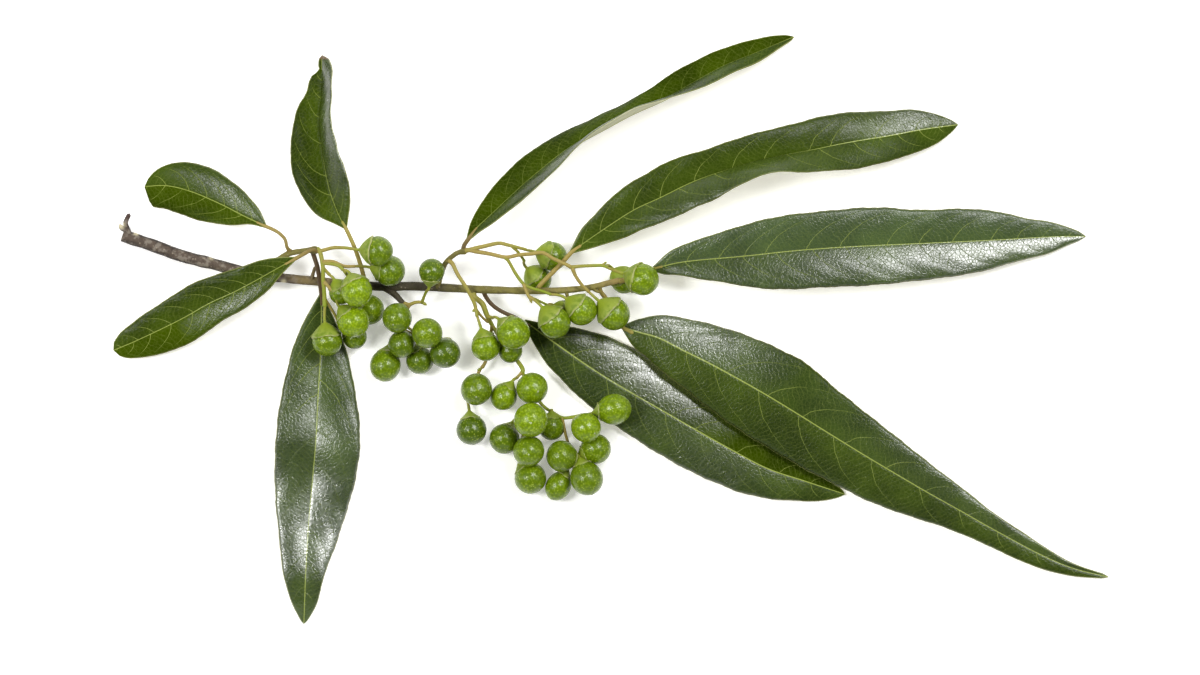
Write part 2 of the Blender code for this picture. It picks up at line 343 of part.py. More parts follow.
def smooth_rows(points, count):
    """Even steps along a Catmull-Rom curve through the points, on every column alike."""
    given = np.array(points, float)
    padded = np.vstack([2 * given[0] - given[1], given, 2 * given[-1] - given[-2]])
    spans = len(given) - 1
    fine = np.linspace(0, spans, spans * 12 + 1)
    span = np.minimum(fine.astype(int), spans - 1)
    s = (fine - span)[:, None]
    a, b, c, d = (padded[span + k] for k in range(4))
    curve = 0.5 * (2 * b + (c - a) * s + (2 * a - 5 * b + 4 * c - d) * s**2
                   + (3 * b - a - 3 * c + d) * s**3)
    steps = np.linalg.norm(np.diff(curve[:, :3], axis=0), axis=1)
    travelled = np.concatenate([[0], np.cumsum(steps)])
    wanted = np.linspace(0, travelled[-1], count)
    return np.column_stack([np.interp(wanted, travelled, column) for column in curve.T])


def path_frames(path):
    """Tangent, side and up direction at each point of a path, without twist."""
    tangent = unit(np.gradient(path, axis=0))
    start = np.cross(tangent[0], (0, 0, 1))
    if np.linalg.norm(start) < 0.2:
        start = np.array((1.0, 0, 0))
    sides = []
    for direction in tangent:
        start = start - direction * start.dot(direction)
        start = start / np.linalg.norm(start)
        sides.append(start)
    side = np.array(sides)
    return tangent, side, np.cross(side, tangent)


def skin(rings):
    """Faces of a closed tube through rings of points, with a flat cap on each end."""
    count, sides = rings.shape[:2]
    points = rings.reshape(-1, 3)
    faces = []
    for row in range(count - 1):
        for k in range(sides):
            here = row * sides + k
            beside = row * sides + (k + 1) % sides
            faces.append((here, beside, beside + sides, here + sides))
    faces.append(tuple(reversed(range(sides))))
    faces.append(tuple(range((count - 1) * sides, count * sides)))
    return points, faces


def stalk(rows, sides):
    """A round stem along rows of x, y, z, radius."""
    smooth = smooth_rows(rows, max(3, round(STATIONS_PER_POINT * len(rows)) - 1))
    axis, radius = smooth[:, :3], smooth[:, 3]
    _, side, up = path_frames(axis)
    angle = (np.arange(sides) + 0.5) * 2 * math.pi / sides
    around = side[:, None] * np.cos(angle)[:, None] + up[:, None] * np.sin(angle)[:, None]
    return skin(axis[:, None] + around * radius[:, None, None])


def berry_direction(compass, rise):
    """Unit vector from a berry's centre towards its stalk."""
    a, e = math.radians(compass), math.radians(rise)
    return np.array((math.cos(e) * math.cos(a), math.cos(e) * math.sin(a), math.sin(e)))


def berry(spec):
    """A berry and its cup, turned about the way to its stalk."""
    centre, radius, stretch = np.array(spec[:3]), spec[3], spec[4]
    axis = berry_direction(spec[5], spec[6])
    side = unit(np.cross(axis, (0.31, 0.17, 0.93)))
    up = np.cross(side, axis)
    along, out = np.array(FRUIT_PROFILE).T * radius
    angle = np.arange(FRUIT_SIDES) * 2 * math.pi / FRUIT_SIDES
    around = side * np.cos(angle)[:, None] + up * np.sin(angle)[:, None]
    rings = centre + axis * (along * stretch)[:, None, None] + around * out[:, None, None]
    points, faces = skin(rings)
    lid = faces.pop()
    apex = len(points)
    points = np.vstack([points, centre - axis * radius * stretch])
    faces += [(lid[k], lid[(k + 1) % FRUIT_SIDES], apex) for k in range(FRUIT_SIDES)]
    return points, [tuple(reversed(face)) for face in faces]


def berry_stalk(spec):
    """The berry's own stalk, bent from the branch into the cup."""
    centre, radius, stretch = np.array(spec[:3]), spec[3], spec[4]
    axis = berry_direction(spec[5], spec[6])
    root = np.array(spec[7])
    end = centre + axis * radius * stretch * (CUP_LENGTH - 0.25)
    handle = end + axis * 0.45 * np.linalg.norm(end - root)
    share = np.linspace(0, 1, 3)[:, None]
    bend = root * (1 - share) ** 2 + handle * 2 * share * (1 - share) + end * share**2
    return stalk(np.column_stack([bend, np.linspace(0.24, 0.3, 3)]), STALK_SIDES)


def margin_offsets(stations, t):
    """Smooth distance out and height up of a margin, by cubics through its stations."""
    at, out, up = np.array(stations, float).T
    k = np.clip(np.searchsorted(at, t, side="right") - 1, 0, len(at) - 2)
    length = at[k + 1] - at[k]
    s = (t - at[k]) / length
    offsets = []
    for value in (out, up):
        slope = np.gradient(value, at)
        start = value[k] * (2 * s**3 - 3 * s**2 + 1) + value[k + 1] * (3 * s**2 - 2 * s**3)
        turn = slope[k] * (s**3 - 2 * s**2 + s) + slope[k + 1] * (s**3 - s**2)
        offsets.append(start + turn * length)
    return offsets


def leaf_grid(spec):
    """Middle surface of a blade as stations by columns, with the up direction at each point."""
    t = np.linspace(0, 1, LEAF_STATIONS)
    midrib = smooth_rows(spec["midrib"], LEAF_STATIONS)
    tangent = unit(np.gradient(midrib, axis=0))
    side = unit(np.cross((0, 0, 1), tangent))
    columns, normals = [], []
    for fraction in BLADE_COLUMNS:
        outward = 1 if fraction < 0 else -1
        out, up = margin_offsets(spec["left"] if fraction < 0 else spec["right"], t)
        margin = outward * side * out[:, None] + np.outer(up, (0, 0, 1))
        normal = outward * unit(np.cross(tangent, margin))
        width = np.linalg.norm(margin, axis=1)
        lift = BLADE_ARCH * width * math.sin(math.pi * abs(fraction))
        columns.append(midrib + margin * abs(fraction) + normal * lift[:, None])
        normals.append(normal)
    middle = BLADE_COLUMNS.index(0.0)
    normals[middle] = unit(normals[middle - 1] + normals[middle + 1])
    return np.stack(columns, 1), np.stack(normals, 1)


def leaf_blade(spec):
    """A closed blade: the same triangles on both faces, with a narrow rim round the margin."""
    surface, normal = leaf_grid(spec)
    stations, columns = surface.shape[:2]
    top = surface + normal * BLADE_THICKNESS / 2
    bottom = surface - normal * BLADE_THICKNESS / 2
    middle = BLADE_COLUMNS.index(0.0)
    keel = MIDRIB_KEEL * np.linspace(1, 0, stations)[:, None]
    bottom[:, middle] -= normal[:, middle] * keel
    bottom[..., 2] = np.maximum(bottom[..., 2], FLOOR)
    points = np.vstack([top.reshape(-1, 3), bottom.reshape(-1, 3)])
    under = stations * columns
    faces = []
    for row in range(stations - 1):
        for col in range(columns - 1):
            a = row * columns + col
            b, c, d = a + 1, a + columns + 1, a + columns
            halves = ((a, d, c), (a, c, b)) if col < middle else ((a, d, b), (b, d, c))
            faces += halves
            faces += [tuple(k + under for k in reversed(face)) for face in halves]
    rim = [row * columns for row in range(stations)]
    rim += [(stations - 1) * columns + col for col in range(1, columns)]
    rim += [row * columns + columns - 1 for row in range(stations - 2, -1, -1)]
    rim += list(range(columns - 2, 0, -1))
    for here, ahead in zip(rim, rim[1:] + rim[:1]):
        faces += [(here, here + under, ahead + under), (here, ahead + under, ahead)]
    return points, faces


def make_material(name, look):
    """A plain material in the part's colour."""
    colour, roughness = look
    material = bpy.data.materials.new(name)
    material.use_nodes = True
    shader = material.node_tree.nodes["Principled BSDF"]
    shader.inputs["Base Color"].default_value = (*colour, 1)
    shader.inputs["Roughness"].default_value = roughness
    return material


def add_object(name, shape, collection):
    """Puts points in millimetres and faces into the scene as an object."""
    points, faces = shape
    mesh = bpy.data.meshes.new(name)
    mesh.from_pydata([tuple(point) for point in points * MM], [], faces)
    thing = bpy.data.objects.new(name, mesh)
    collection.objects.link(thing)
    return thing


def cut_flat_at_floor(mesh):
    """Planes off what dips below the surface, so that the piece rests on small flats."""
    bm = bmesh.new()
    bm.from_mesh(mesh)
    bmesh.ops.triangulate(bm, faces=bm.faces)
    everything = bm.verts[:] + bm.edges[:] + bm.faces[:]
    bmesh.ops.bisect_plane(bm, geom=everything, plane_co=(0, 0, FLOOR), plane_no=(0, 0, -1),
                           clear_outer=True)
    bmesh.ops.holes_fill(bm, edges=[edge for edge in bm.edges if edge.is_boundary], sides=0)
    bmesh.ops.recalc_face_normals(bm, faces=bm.faces)
    bm.to_mesh(mesh)
    bm.free()


def join_as(name, shapes, look):
    """One solid from overlapping shapes, by a Boolean union on a collection."""
    scene = bpy.context.scene.collection
    body = add_object(name, shapes[0], scene)
    others = bpy.data.collections.new(name + "_pieces")
    scene.children.link(others)
    for shape in shapes[1:]:
        add_object(name + "_piece", shape, others)
    union = body.modifiers.new("union", "BOOLEAN")
    union.operation = "UNION"
    union.operand_type = "COLLECTION"
    union.collection = others
    union.solver = "EXACT"
    graph = bpy.context.evaluated_depsgraph_get()
    joined = bpy.data.meshes.new_from_object(body.evaluated_get(graph))
    body.modifiers.clear()
    body.data = joined
    for piece in list(others.objects):
        bpy.data.objects.remove(piece)
    bpy.data.collections.remove(others)
    cut_flat_at_floor(joined)
    joined.materials.clear()
    joined.materials.append(make_material(name, look))
    joined.shade_smooth()
    joined.set_sharp_from_angle(angle=math.radians(50))
    return body


def make_twig():
    """The woody stem with its side shoots, bud stub, scars and nubs."""
    shapes = [stalk(TWIG_AXIS, TWIG_SIDES)]
    shapes += [stalk(rows, WOOD_SIDES) for rows in TWIG_BRANCHES.values()]
    return join_as("woody_stem", shapes, BARK)


def make_leaf(name, spec):
    """A blade with its petiole."""
    return join_as(name, [leaf_blade(spec), stalk(spec["petiole"], WOOD_SIDES)], LEAF)


def make_spray(name, spec):
    """Stalks, cups and berries that grew as one piece."""
    shapes = [stalk(rows, STALK_SIDES) for rows in spec["stalks"]]
    shapes += [berry(fruit) for fruit in spec["berries"]]
    shapes += [berry_stalk(fruit) for fruit in spec["berries"]]
    return join_as(name, shapes, STALK_AND_BERRY)


def main():
    """Builds every piece."""
    clear_scene()
    make_twig()
    for name, spec in LEAVES.items():
        make_leaf(name, spec)
    for name, spec in SPRAYS.items():
        make_spray(name, spec)


main()
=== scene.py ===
"""May chang sprig: leaves, bark, stalks and berries with their finishes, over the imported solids.

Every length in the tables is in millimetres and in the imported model's frame. The plan and the
heights repeat those of the solids, so that each piece lies where its solid is.
"""

import math

import bpy
import numpy as np
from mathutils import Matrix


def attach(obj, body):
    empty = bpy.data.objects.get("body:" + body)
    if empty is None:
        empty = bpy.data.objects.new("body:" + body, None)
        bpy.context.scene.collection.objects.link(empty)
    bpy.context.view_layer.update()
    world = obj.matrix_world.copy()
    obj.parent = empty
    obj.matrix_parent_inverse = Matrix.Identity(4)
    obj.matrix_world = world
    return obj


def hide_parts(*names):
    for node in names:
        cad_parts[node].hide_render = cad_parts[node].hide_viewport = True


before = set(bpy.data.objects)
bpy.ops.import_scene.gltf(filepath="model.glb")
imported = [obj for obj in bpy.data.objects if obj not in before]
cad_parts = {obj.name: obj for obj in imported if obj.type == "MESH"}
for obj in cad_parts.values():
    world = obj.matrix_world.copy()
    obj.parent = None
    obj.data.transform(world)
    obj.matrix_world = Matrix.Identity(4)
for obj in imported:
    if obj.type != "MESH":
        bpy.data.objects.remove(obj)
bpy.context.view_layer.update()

bl_info = {
    "name": "May Chang Sprig",
    "version": (1, 0, 0),
    "blender": (4, 5, 0),
    "location": "3D View > Sidebar > Sprig",
    "description": "Builds a fruiting twig with long glossy leaves and small green berries",
    "category": "Add Mesh",
}

MM = 0.001

# The photo's scale in millimetres a pixel, its width in pixels, and the place that its middle shows
PIXEL = 0.18
PHOTO_WIDTH = 1200
VIEW_CENTRE = (-1.8 * MM, -1.5 * MM)

# Softboxes: name, place in metres, size in metres, share of the power
SOFTBOXES = (
    ("key_right", (0.37, 0.36, 0.85), (0.46, 0.24), 1.0),
    ("key_left", (-0.53, 0.05, 0.84), (0.28, 0.28), 0.85),
    ("fill_front", (0.0, -1.05, 0.50), (1.6, 0.5), 0.40),
    ("fill_back", (0.0, 1.05, 0.50), (1.6, 0.5), 0.40),
    ("fill_left", (-1.05, 0.0, 0.50), (0.5, 1.6), 0.40),
    ("fill_right", (1.05, 0.0, 0.50), (0.5, 1.6), 0.40),
)

# The floor's half side in metres, the colour of its own light, and the light from all round
FLOOR_REACH = 3.0
FLOOR_LIGHT = (1.0, 0.985, 0.965)
ROOM_LIGHT = 0.06

# How many columns, rings and sides a surface has
BLADE_COLUMNS = 23
BERRY_RINGS = 24
BERRY_SIDES = 36
CUP_SIDES = 20
PETIOLE_SIDES = 14
STALK_SIDES = 12
TWIG_SIDES = 28
SHOOT_SIDES = 14

# A blade's step, its arch as a share of its width, and the depths of its keel, groove and raised veins
BLADE_STEP = 0.6
BLADE_ARCH = 0.035
MIDRIB_KEEL = 0.25
MIDRIB_GROOVE = 0.08
VEIN_RELIEF = 0.07

# The first station of every margin, and the shares of the length that the gloss is given at
MARGIN_START = (0, 0.35, 0)
GLOSS_STATIONS = (0.1, 0.33, 0.67, 0.9)

# The least heights of a surface in general, and of a blade's lower and upper face
LEAST_HEIGHT = 0.01
BLADE_HEIGHTS = (0.02, 0.06)

# The steps along stalks and bark, and the place from which and the length over which bark gets young
STALK_STEP = 0.35
TWIG_STEP = 0.4
SHOOT_STEP = 0.25
OLD_BARK_END = -75
YOUTH_LENGTH = 77
SHOOT_YOUTH = 0.7

# How far a cup widens towards its rim, and how green the stalks in it start
CUP_FLARE = 0.11
CUP_GREEN = 0.6

# Colours that the settings leave alone
# Grey green of the waxy bloom, which also paints a sheen of reflected light on the blades
BLOOM_AND_SHEEN_GREY = (0.11, 0.165, 0.085)
# Pale margin: painted light, as if shining through the thin edge of the blade
MARGIN_PAINTED_LIGHT = (0.40, 0.42, 0.14)
DRY_TIP = (0.16, 0.11, 0.06)
UNDERSIDE_SHADE = (0.48, 0.49, 0.31)
UNDERSIDE_VEIN = (0.40, 0.42, 0.20)
BERRY_APEX = (0.50, 0.52, 0.36)
STALK_DARK = (0.09, 0.055, 0.025)
STALK_SCAR = (0.10, 0.065, 0.02)
CUP_PALE = (0.28, 0.34, 0.07)
CUP_BLOTCH = (0.12, 0.19, 0.006)
CUP_FLECK = (0.36, 0.42, 0.10)
CUP_RIM = (0.44, 0.42, 0.22)
BARK_TAN = (0.17, 0.125, 0.045)
BARK_OLIVE = (0.22, 0.19, 0.045)
BARK_STRAW = (0.27, 0.20, 0.06)
BARK_FURROW = (0.050, 0.034, 0.022)
# Painted shade for the sides and underside of the old bark
PAINTED_FLANK_SHADE = (0.020, 0.012, 0.008)
BARK_GREY = (0.25, 0.215, 0.17)
BARK_PORE = (0.34, 0.28, 0.20)
SCAR_PALE = (0.56, 0.50, 0.33)
SCAR_DARK = (0.05, 0.026, 0.018)

# Spots on the bark: x, y, reach, paleness, which is below 0 for dark ones
BARK_SCARS = (
    (-85.2, 17.3, 0.5, 1.0), (-88.1, 18.8, 0.9, 1.0), (-58.7, 8.5, 0.5, 1.0),
    (-71.7, 12.9, 0.6, 0.6), (-86.5, 20.6, 1.2, -1.0), (-87.4, 17.0, 0.7, -0.6),
)

# The twig: x, y, height of its axis, radius
TWIG_AXIS = [
    (-87.7, 16.85, 1.03, 1.12), (-82.4, 15.1, 1.05, 1.12), (-77.4, 13.3, 1.2, 1.1),
    (-71.8, 11.85, 1.45, 1.05), (-64.3, 9.9, 1.8, .95), (-58.7, 9.2, 2, .85), (-52.6, 8.6, 2.4, .8),
    (-41.8, 7.7, 3, .8), (-35.1, 7.7, 3.3, .8), (-29, 7.4, 3.7, .75), (-20, 7, 4.5, .68),
    (-10.8, 6.9, 5.05, .6), (-4.1, 7.4, 5.3, .56), (-.2, 8.3, 5.45, .54), (2, 8.8, 5.5, .54),
]

# What grows from the twig as wood: side shoots, the broken bud by the cut, scars and nubs, and the
# swellings of the bark where a leaf or a stalk grows out of it
TWIG_BRANCHES = {
    "left_shoot": [
        (-66.6, 10.3, 1.9, .6), (-63.2, 10.9, 3.2, .58), (-59.9, 12.3, 4.4, .55), (-57.6, 13.6, 5.1, .52),
        (-54.7, 14.1, 5.7, .5), (-53.3, 14.3, 6, .52),
    ],
    "middle_shoot": [
        (-40.7, 7.6, 3.2, .7), (-39.4, 6.8, 3.1, .62), (-38.4, 6, 3.2, .56), (-37.5, 5, 3.4, .5),
        (-36.9, 4.5, 3.5, .46),
    ],
    "right_shoot": [
        (-31.1, 7.4, 3.7, .6), (-30.4, 9.7, 4.4, .5), (-29.5, 11.9, 5.4, .46), (-27.9, 13.4, 6.3, .44),
        (-26.5, 14, 6.9, .44),
    ],
    "bud": [
        (-86.3, 16.6, 1.35, .62), (-86.8, 17.9, 1.65, .52), (-87.1, 19.2, 1.95, .44),
        (-86.4, 20.8, 2.3, .42),
    ],
    "torn_bark": [(-87.1, 17.7, 1.5, .38), (-87.9, 18.3, 1.75, .45), (-88.2, 18.9, 1.9, .3)],
    "leaf_scar": [(-85.3, 16, 1.15, .62), (-85.2, 17.1, 1.45, .42)],
    "node_swelling": [(-72.2, 11.7, 1.6, .8), (-71.8, 12.8, 1.9, .45)],
    "outer_bump": [(-77.2, 13, 1.2, .7), (-77, 12.1, 1, .4)],
    "inner_bump": [(-58.9, 9.2, 2, .6), (-58.7, 8.4, 1.9, .32)],
    # A short stub of bark under leaf D's petiole, built where a brown mark lies
    "spur": [(-53.8, 8.6, 2.6, .45), (-53.4, 9.9, 3.2, .33), (-53, 11.3, 3.5, .28)],
    "first_nub": [(-7.9, 6.8, 5.1, .4), (-7.6, 5.9, 5, .3), (-7.2, 5.6, 5, .18)],
    "second_nub": [(-3.2, 7.4, 5.3, .4), (-2.3, 6.8, 5.3, .3), (-1.6, 6.6, 5.3, .15)],
    "left_fork": [(-54, 14.2, 5.8, .52), (-53, 14.2, 6.15, .72), (-52.3, 14.2, 6.4, .55)],
    "right_fork": [(-27, 13.8, 6.7, .46), (-26.2, 14, 7.1, .66), (-25.6, 14, 7.4, .5)],
    "knob_b": [(-57.9, 13.6, 5, .5), (-57.4, 13.9, 5.15, .6), (-57, 14.1, 5.3, .45)],
    "knob_c": [(-43.6, 7.7, 2.9, .8), (-43.6, 8.1, 3.4, .6)],
    "knob_f": [(-13.4, 6.9, 4.9, .6), (-12.9, 7.3, 5.3, .52)],
    "knob_h": [(-22.7, 7.1, 4.3, .66), (-22.5, 6.5, 4.1, .58)],
    "bunch_knob": [(-24.6, 7.1, 4.1, .66), (-24.4, 6.4, 4.1, .6)],
    "knob_i": [(-2.2, 7.9, 5.4, .52), (-1.7, 7.4, 5.2, .5)],
}

# The wood that is younger than its place along the twig says
YOUNG_WOOD = {
    "left_shoot", "right_shoot", "left_fork", "right_fork", "knob_b", "knob_f", "knob_h", "bunch_knob",
    "knob_i",
}

# Each spray: its stalks as x, y, height, radius, and its berries.
# A berry is: centre x, y, z, radius, length over width, the way to its stalk as a compass angle
# and a rise above level, both in degrees, the point on a stalk that its own stalk leaves, how far
# its cup reaches over it in degrees from its stalk, and how bright its skin is, from 0 for dark
# green to 1 for lime. That brightness is partly the berry's own tint and partly painted light and
# shade.
SPRAYS = {
    "spray_left": {
        "stalks": [
            [(-53, 14.1, 6.1, .42), (-52.2, 14, 6.5, .36), (-49.7, 14.6, 7.1, .33), (-47.7, 14.6, 7.9, .3),
             (-46.1, 14.4, 8.7, .28)],
            [(-53, 14.1, 6.1, .42), (-52.2, 14.2, 6.4, .42), (-51.6, 11.7, 6.9, .4), (-51.5, 9, 6.6, .38),
             (-51.3, 6.3, 6.2, .38), (-51.2, 3.8, 6, .4)],
            [(-51.6, 12.1, 6.9, .36), (-49.7, 12.1, 7.1, .33), (-47.7, 11.3, 6.9, .3),
             (-45.4, 11.3, 6.6, .25)],
            [(-51.6, 11.9, 6.9, .33), (-49, 11.5, 7.6, .33), (-47.7, 10.5, 8.3, .33)],
            [(-51.5, 11, 6.8, .3), (-50.2, 9.6, 6.4, .28)],
            [(-51.4, 8.5, 6.6, .32), (-50, 7, 6.8, .3), (-49, 5.4, 7, .3)],
            [(-47.7, 10.5, 8.3, .28), (-46.8, 9, 6.2, .26), (-45.7, 7, 4.6, .25)],
            [(-51.3, 5.6, 6.1, .28), (-49.9, 3.4, 5, .26), (-48.8, 1.4, 4.2, .25)],
        ],
        "berries": [
            (-41.6, 14, 9.4, 2.7, 1, 176, -10, (-46.3, 14.4, 8.6), 66, .42),
            (-39.6, 10.5, 5.6, 2.82, 1, 170, 10, (-45.6, 11.3, 6.6), 45, .35),
            (-48.3, 6.6, 5.6, 2.2, 1, 118, 20, (-50.3, 9.7, 6.4), 50, .6),
            (-45.4, 6.8, 9.7, 2.82, 1, 112, -20, (-47.8, 10.6, 8.2), 64, 1.25),
            (-43.3, 3.5, 2.6, 2.72, 1, 135, 20, (-45.8, 7.2, 4.7), 40, .5),
            (-46.1, 1.4, 7.1, 2.9, 1, 133, -5, (-49.1, 5.6, 7), 50, 1.35),
            (-50.8, -2.2, 5.4, 2.68, 1, 97, 5, (-51.2, 4, 6), 66, .45),
            (-45.9, -1.4, 3, 2.2, 1, 140, 15, (-48.9, 1.6, 4.3), 40, .3),
        ],
    },
    "spray_middle": {
        "stalks": [
            [(-37.1, 4.6, 3.4, .42), (-36.1, 4.4, 3.6, .36), (-35, 4.8, 3.7, .3), (-33.8, 4.8, 3.8, .3),
             (-32.9, 4.3, 3.8, .24)],
            [(-33.8, 4.8, 3.8, .28), (-33.3, 6.1, 5, .26), (-32.8, 7.1, 6.2, .26)],
            [(-36.1, 4.4, 3.6, .36), (-36.9, 2.7, 3.3, .34), (-37.3, .5, 2.6, .32), (-36.4, -2.2, 1.5, .3)],
            [(-37.1, -.2, 2.4, .3), (-34.2, -1.3, 1.8, .28), (-31.5, -1.5, 1.4, .26)],
        ],
        "berries": [
            (-32, 10.4, 7.2, 2.3, 1, 261, -10, (-32.9, 6.9, 6), 45, .2),
            (-38.2, 2, 7, 2.7, 1, 60, -60, (-36.9, 2.9, 3.3), 40, .42),
            (-32.8, -.7, 7.6, 2.75, 1, 180, -63, (-37.2, 1, 2.8), 40, .5),
            (-37.4, -2.7, 4.95, 2.45, 1, 166, -73, (-37.2, -.4, 2.3), 40, .25),
            (-34.2, -5.6, 2.2, 2.5, 1, 110, 5, (-36.5, -2, 1.6), 40, .2),
            (-29.6, -4.3, 4.8, 2.75, 1, 100, -50, (-31.8, -1.5, 1.4), 40, .05),
            (-40.4, -6.5, 2.45, 2.75, 1.08, 80, -15, (-36.9, -1.2, 1.9), 40, .45),
        ],
    },
    "spray_right": {
        "stalks": [
            [(-26.4, 14, 7, .45), (-25.3, 14.2, 7.6, .42), (-22.9, 14.8, 8.1, .38), (-20, 15.4, 8.6, .34),
             (-18.4, 15.1, 8.6, .33), (-17.1, 14.8, 8.4, .3), (-14.8, 14.2, 7.2, .26)],
            [(-17.5, 14.8, 8.4, .28), (-16.4, 13.7, 7.4, .26), (-15.3, 12.1, 5.6, .25)],
            [(-26.4, 14, 7, .45), (-25.3, 14.2, 7.6, .42), (-23.9, 13.9, 7.8, .4), (-21.6, 13.5, 8, .36),
             (-18.7, 12.9, 8.1, .36), (-16.4, 13.3, 8.2, .34), (-14.2, 13.5, 8.4, .34),
             (-12.1, 13.7, 8.6, .34), (-10.1, 12.6, 8.7, .34), (-8.1, 11.7, 8.6, .34),
             (-6.8, 11, 8.4, .36)],
            [(-7, 11.1, 8.4, .34), (-5.2, 11.3, 8.3, .3), (-2.9, 11.4, 8.2, .3), (-1.3, 11.4, 8.1, .3),
             (-.2, 11, 8, .28)],
            [(-1.4, 11.4, 8.1, .25), (-.6, 12.1, 8.3, .16)],
            [(-6.8, 11, 8.4, .34), (-6.1, 9.4, 7.9, .32), (-5, 7.9, 7.4, .3), (-3.6, 6.5, 7, .3)],
            [(-18.9, 12.9, 8.1, .32), (-18.2, 12.2, 8, .3), (-16.9, 9.9, 7.6, .3), (-15.5, 8.1, 7.5, .3),
             (-14.2, 7.4, 7.4, .28), (-12.1, 6.8, 7.4, .28), (-10.3, 6.1, 7.5, .26)],
            [(-15.5, 8.1, 7.5, .3), (-14.8, 6.3, 7.7, .3), (-14.3, 5.4, 7.8, .28), (-14, 4.6, 7.8, .18)],
            [(-14.6, 5.9, 7.7, .28), (-13.5, 5.2, 8.1, .26)],
            [(-14.6, 5.9, 7.7, .24), (-12.6, 5, 7, .22), (-11, 4.2, 6, .22)],
        ],
        "berries": [
            (-10.3, 13.1, 4.4, 2.59, 1, 166, 20, (-15, 14.2, 7.2), 64, .42),
            (-12.9, 9, 2.2, 2.43, 1, 136, 25, (-15.4, 12.3, 5.8), 62, .4),
            (2.5, 8.8, 2.2, 2.43, 1, 134, 30, (-.6, 11.2, 8), 64, .5),
            (5.9, 8.9, 8.2, 2.9, 1, 163, -17, (-.4, 11, 8), 66, .6),
            (-9.9, 1.2, 8.2, 2.85, 1, 130, 5, (-13.7, 5.3, 8), 66, .6),
            (-5.1, 3.4, 7.4, 2.75, 1, 143, 5, (-10.5, 6.2, 7.5), 66, .72),
            (.7, 2.7, 6.4, 2.9, 1, 139, 10, (-3.8, 6.7, 7), 68, .58),
            (-8.3, 3.2, 3.5, 2, 1, 150, 30, (-11.2, 4.3, 6.1), 50, .4),
        ],
    },
    "spray_hanging": {
        "stalks": [
            [(-28.9, 12.3, 5.8, .42), (-28.2, 11.6, 6.3, .38), (-27.4, 9.9, 6.6, .36),
             (-25.9, 7.6, 6.8, .34), (-24.5, 5, 6.4, .34), (-24.1, 3.6, 6.2, .32), (-23.8, 2, 6.2, .28)],
            [(-24.1, 3.7, 6.2, .25), (-24.7, 3.1, 6.1, .18)],
            [(-24.1, 3.6, 6.2, .25), (-23, 2.2, 5, .24), (-21.8, 1.1, 3.7, .24)],
            [(-24.5, 6.9, 4.1, .45), (-24.3, 5.8, 4.15, .46), (-22.9, 4.5, 4.4, .5), (-22.1, 2.5, 4, .46),
             (-20.9, .2, 3, .36), (-18.9, -2.9, 1.7, .36), (-16.9, -5.4, 1.8, .38),
             (-15.7, -7.2, 2.6, .42), (-15.9, -8.1, 2.7, .36)],
            [(-22, 2.3, 3.9, .3), (-20.9, 2, 5.2, .28)],
            [(-21.2, .7, 3.3, .32), (-21.7, -2.5, 2.5, .3), (-22.3, -5.6, 2.4, .3),
             (-23.2, -7.2, 2.5, .32)],
            [(-23.2, -7.1, 2.5, .25), (-23.9, -7.4, 2.6, .16)],
            [(-23.4, -7.4, 2.4, .25), (-25, -9.9, 1.2, .23), (-25.8, -12.4, 1.4, .23)],
            [(-15.8, -7.7, 2.7, .28), (-16.9, -8.9, 2.8, .26)],
            [(-15.8, -7.7, 2.6, .34), (-14.9, -9.5, 1.9, .32), (-13.7, -11.7, 1.3, .3),
             (-11.9, -13.9, 1.7, .3), (-10.4, -14.9, 3, .3), (-8.6, -15.9, 3.3, .3),
             (-6.7, -15.8, 3.4, .32), (-4.7, -15.3, 3.6, .28)],
            [(-8.6, -15.9, 3.3, .28), (-8.1, -18.4, 3.1, .27), (-7.6, -20.2, 2.6, .26),
             (-6.7, -22, 1.8, .26), (-5.8, -23.2, 2.3, .28)],
            [(-13.3, -12.2, 1.3, .28), (-14.9, -16, 2.4, .28), (-15.7, -19.3, 2, .27),
             (-16.6, -22.9, 1.9, .26)],
        ],
        "berries": [
            (-22.3, -3.1, 6, 2.6, 1, 105, 5, (-23.8, 2.2, 6.2), 45, .75),
            (-17.3, -.7, 8.2, 3, 1, 137, -20, (-21.1, 2, 5), 45, .73),
            (-17.9, -3.9, 4.1, 2.2, 1, 124, 10, (-21, .5, 3.2), 35, .4),
            (-24, -10.8, 4.6, 2.85, 1.04, 90, -63, (-23.2, -7, 2.4), 40, .37),
            (-19.1, -12.1, 3, 2.4, 1.05, 60, 10, (-16.8, -8.8, 2.8), 35, .7),
            (-14, -10.6, 5, 2.84, 1, 150, -65, (-15.2, -8.9, 2.1), 40, .7),
            (-24.9, -18.1, 2.4, 2.7, 1, 97, -5, (-25.8, -12.2, 1.4), 38, .06),
            (-19, -19.7, 2.4, 2.74, 1, 63, -15, (-14.9, -16, 2.4), 32, .26),
            (-14.2, -16.3, 7.6, 3.1, 1, 90, -80, (-14.9, -16, 2.4), 35, .85),
            (-10.5, -17.6, 2.5, 2.4, 1, 90, 15, (-10.4, -14.8, 3), 35, .45),
            (-14.6, -21.9, 5.5, 2.8, 1, 90, -78, (-15.9, -20, 2), 35, .48),
            (-14.3, -26.8, 2.5, 2.84, 1, 125, -10, (-16.6, -22.7, 1.9), 40, .43),
            (-8.7, -22.8, 4.2, 2.8, 1, 350, -20, (-6, -23, 2.2), 35, .4),
            (-9.3, -28.2, 2, 2.25, 1.22, 60, 0, (-5.9, -23.1, 2.3), 36, .5),
            (-4.2, -26.8, 4.6, 2.95, 1.06, 110, -10, (-5.8, -23.1, 2.3), 35, .4),
            (-4.3, -17.7, 6.5, 2.7, 1, 148, -48, (-6.7, -15.8, 3.4), 40, .87),
            (-2.6, -21.5, 2.9, 2.78, 1, 205, 0, (-5.9, -23.1, 2.3), 35, .5),
            (.7, -14.4, 5.5, 2.8, 1.12, 191, -10, (-4.9, -15.4, 3.6), 35, .66),
        ],
    },
}
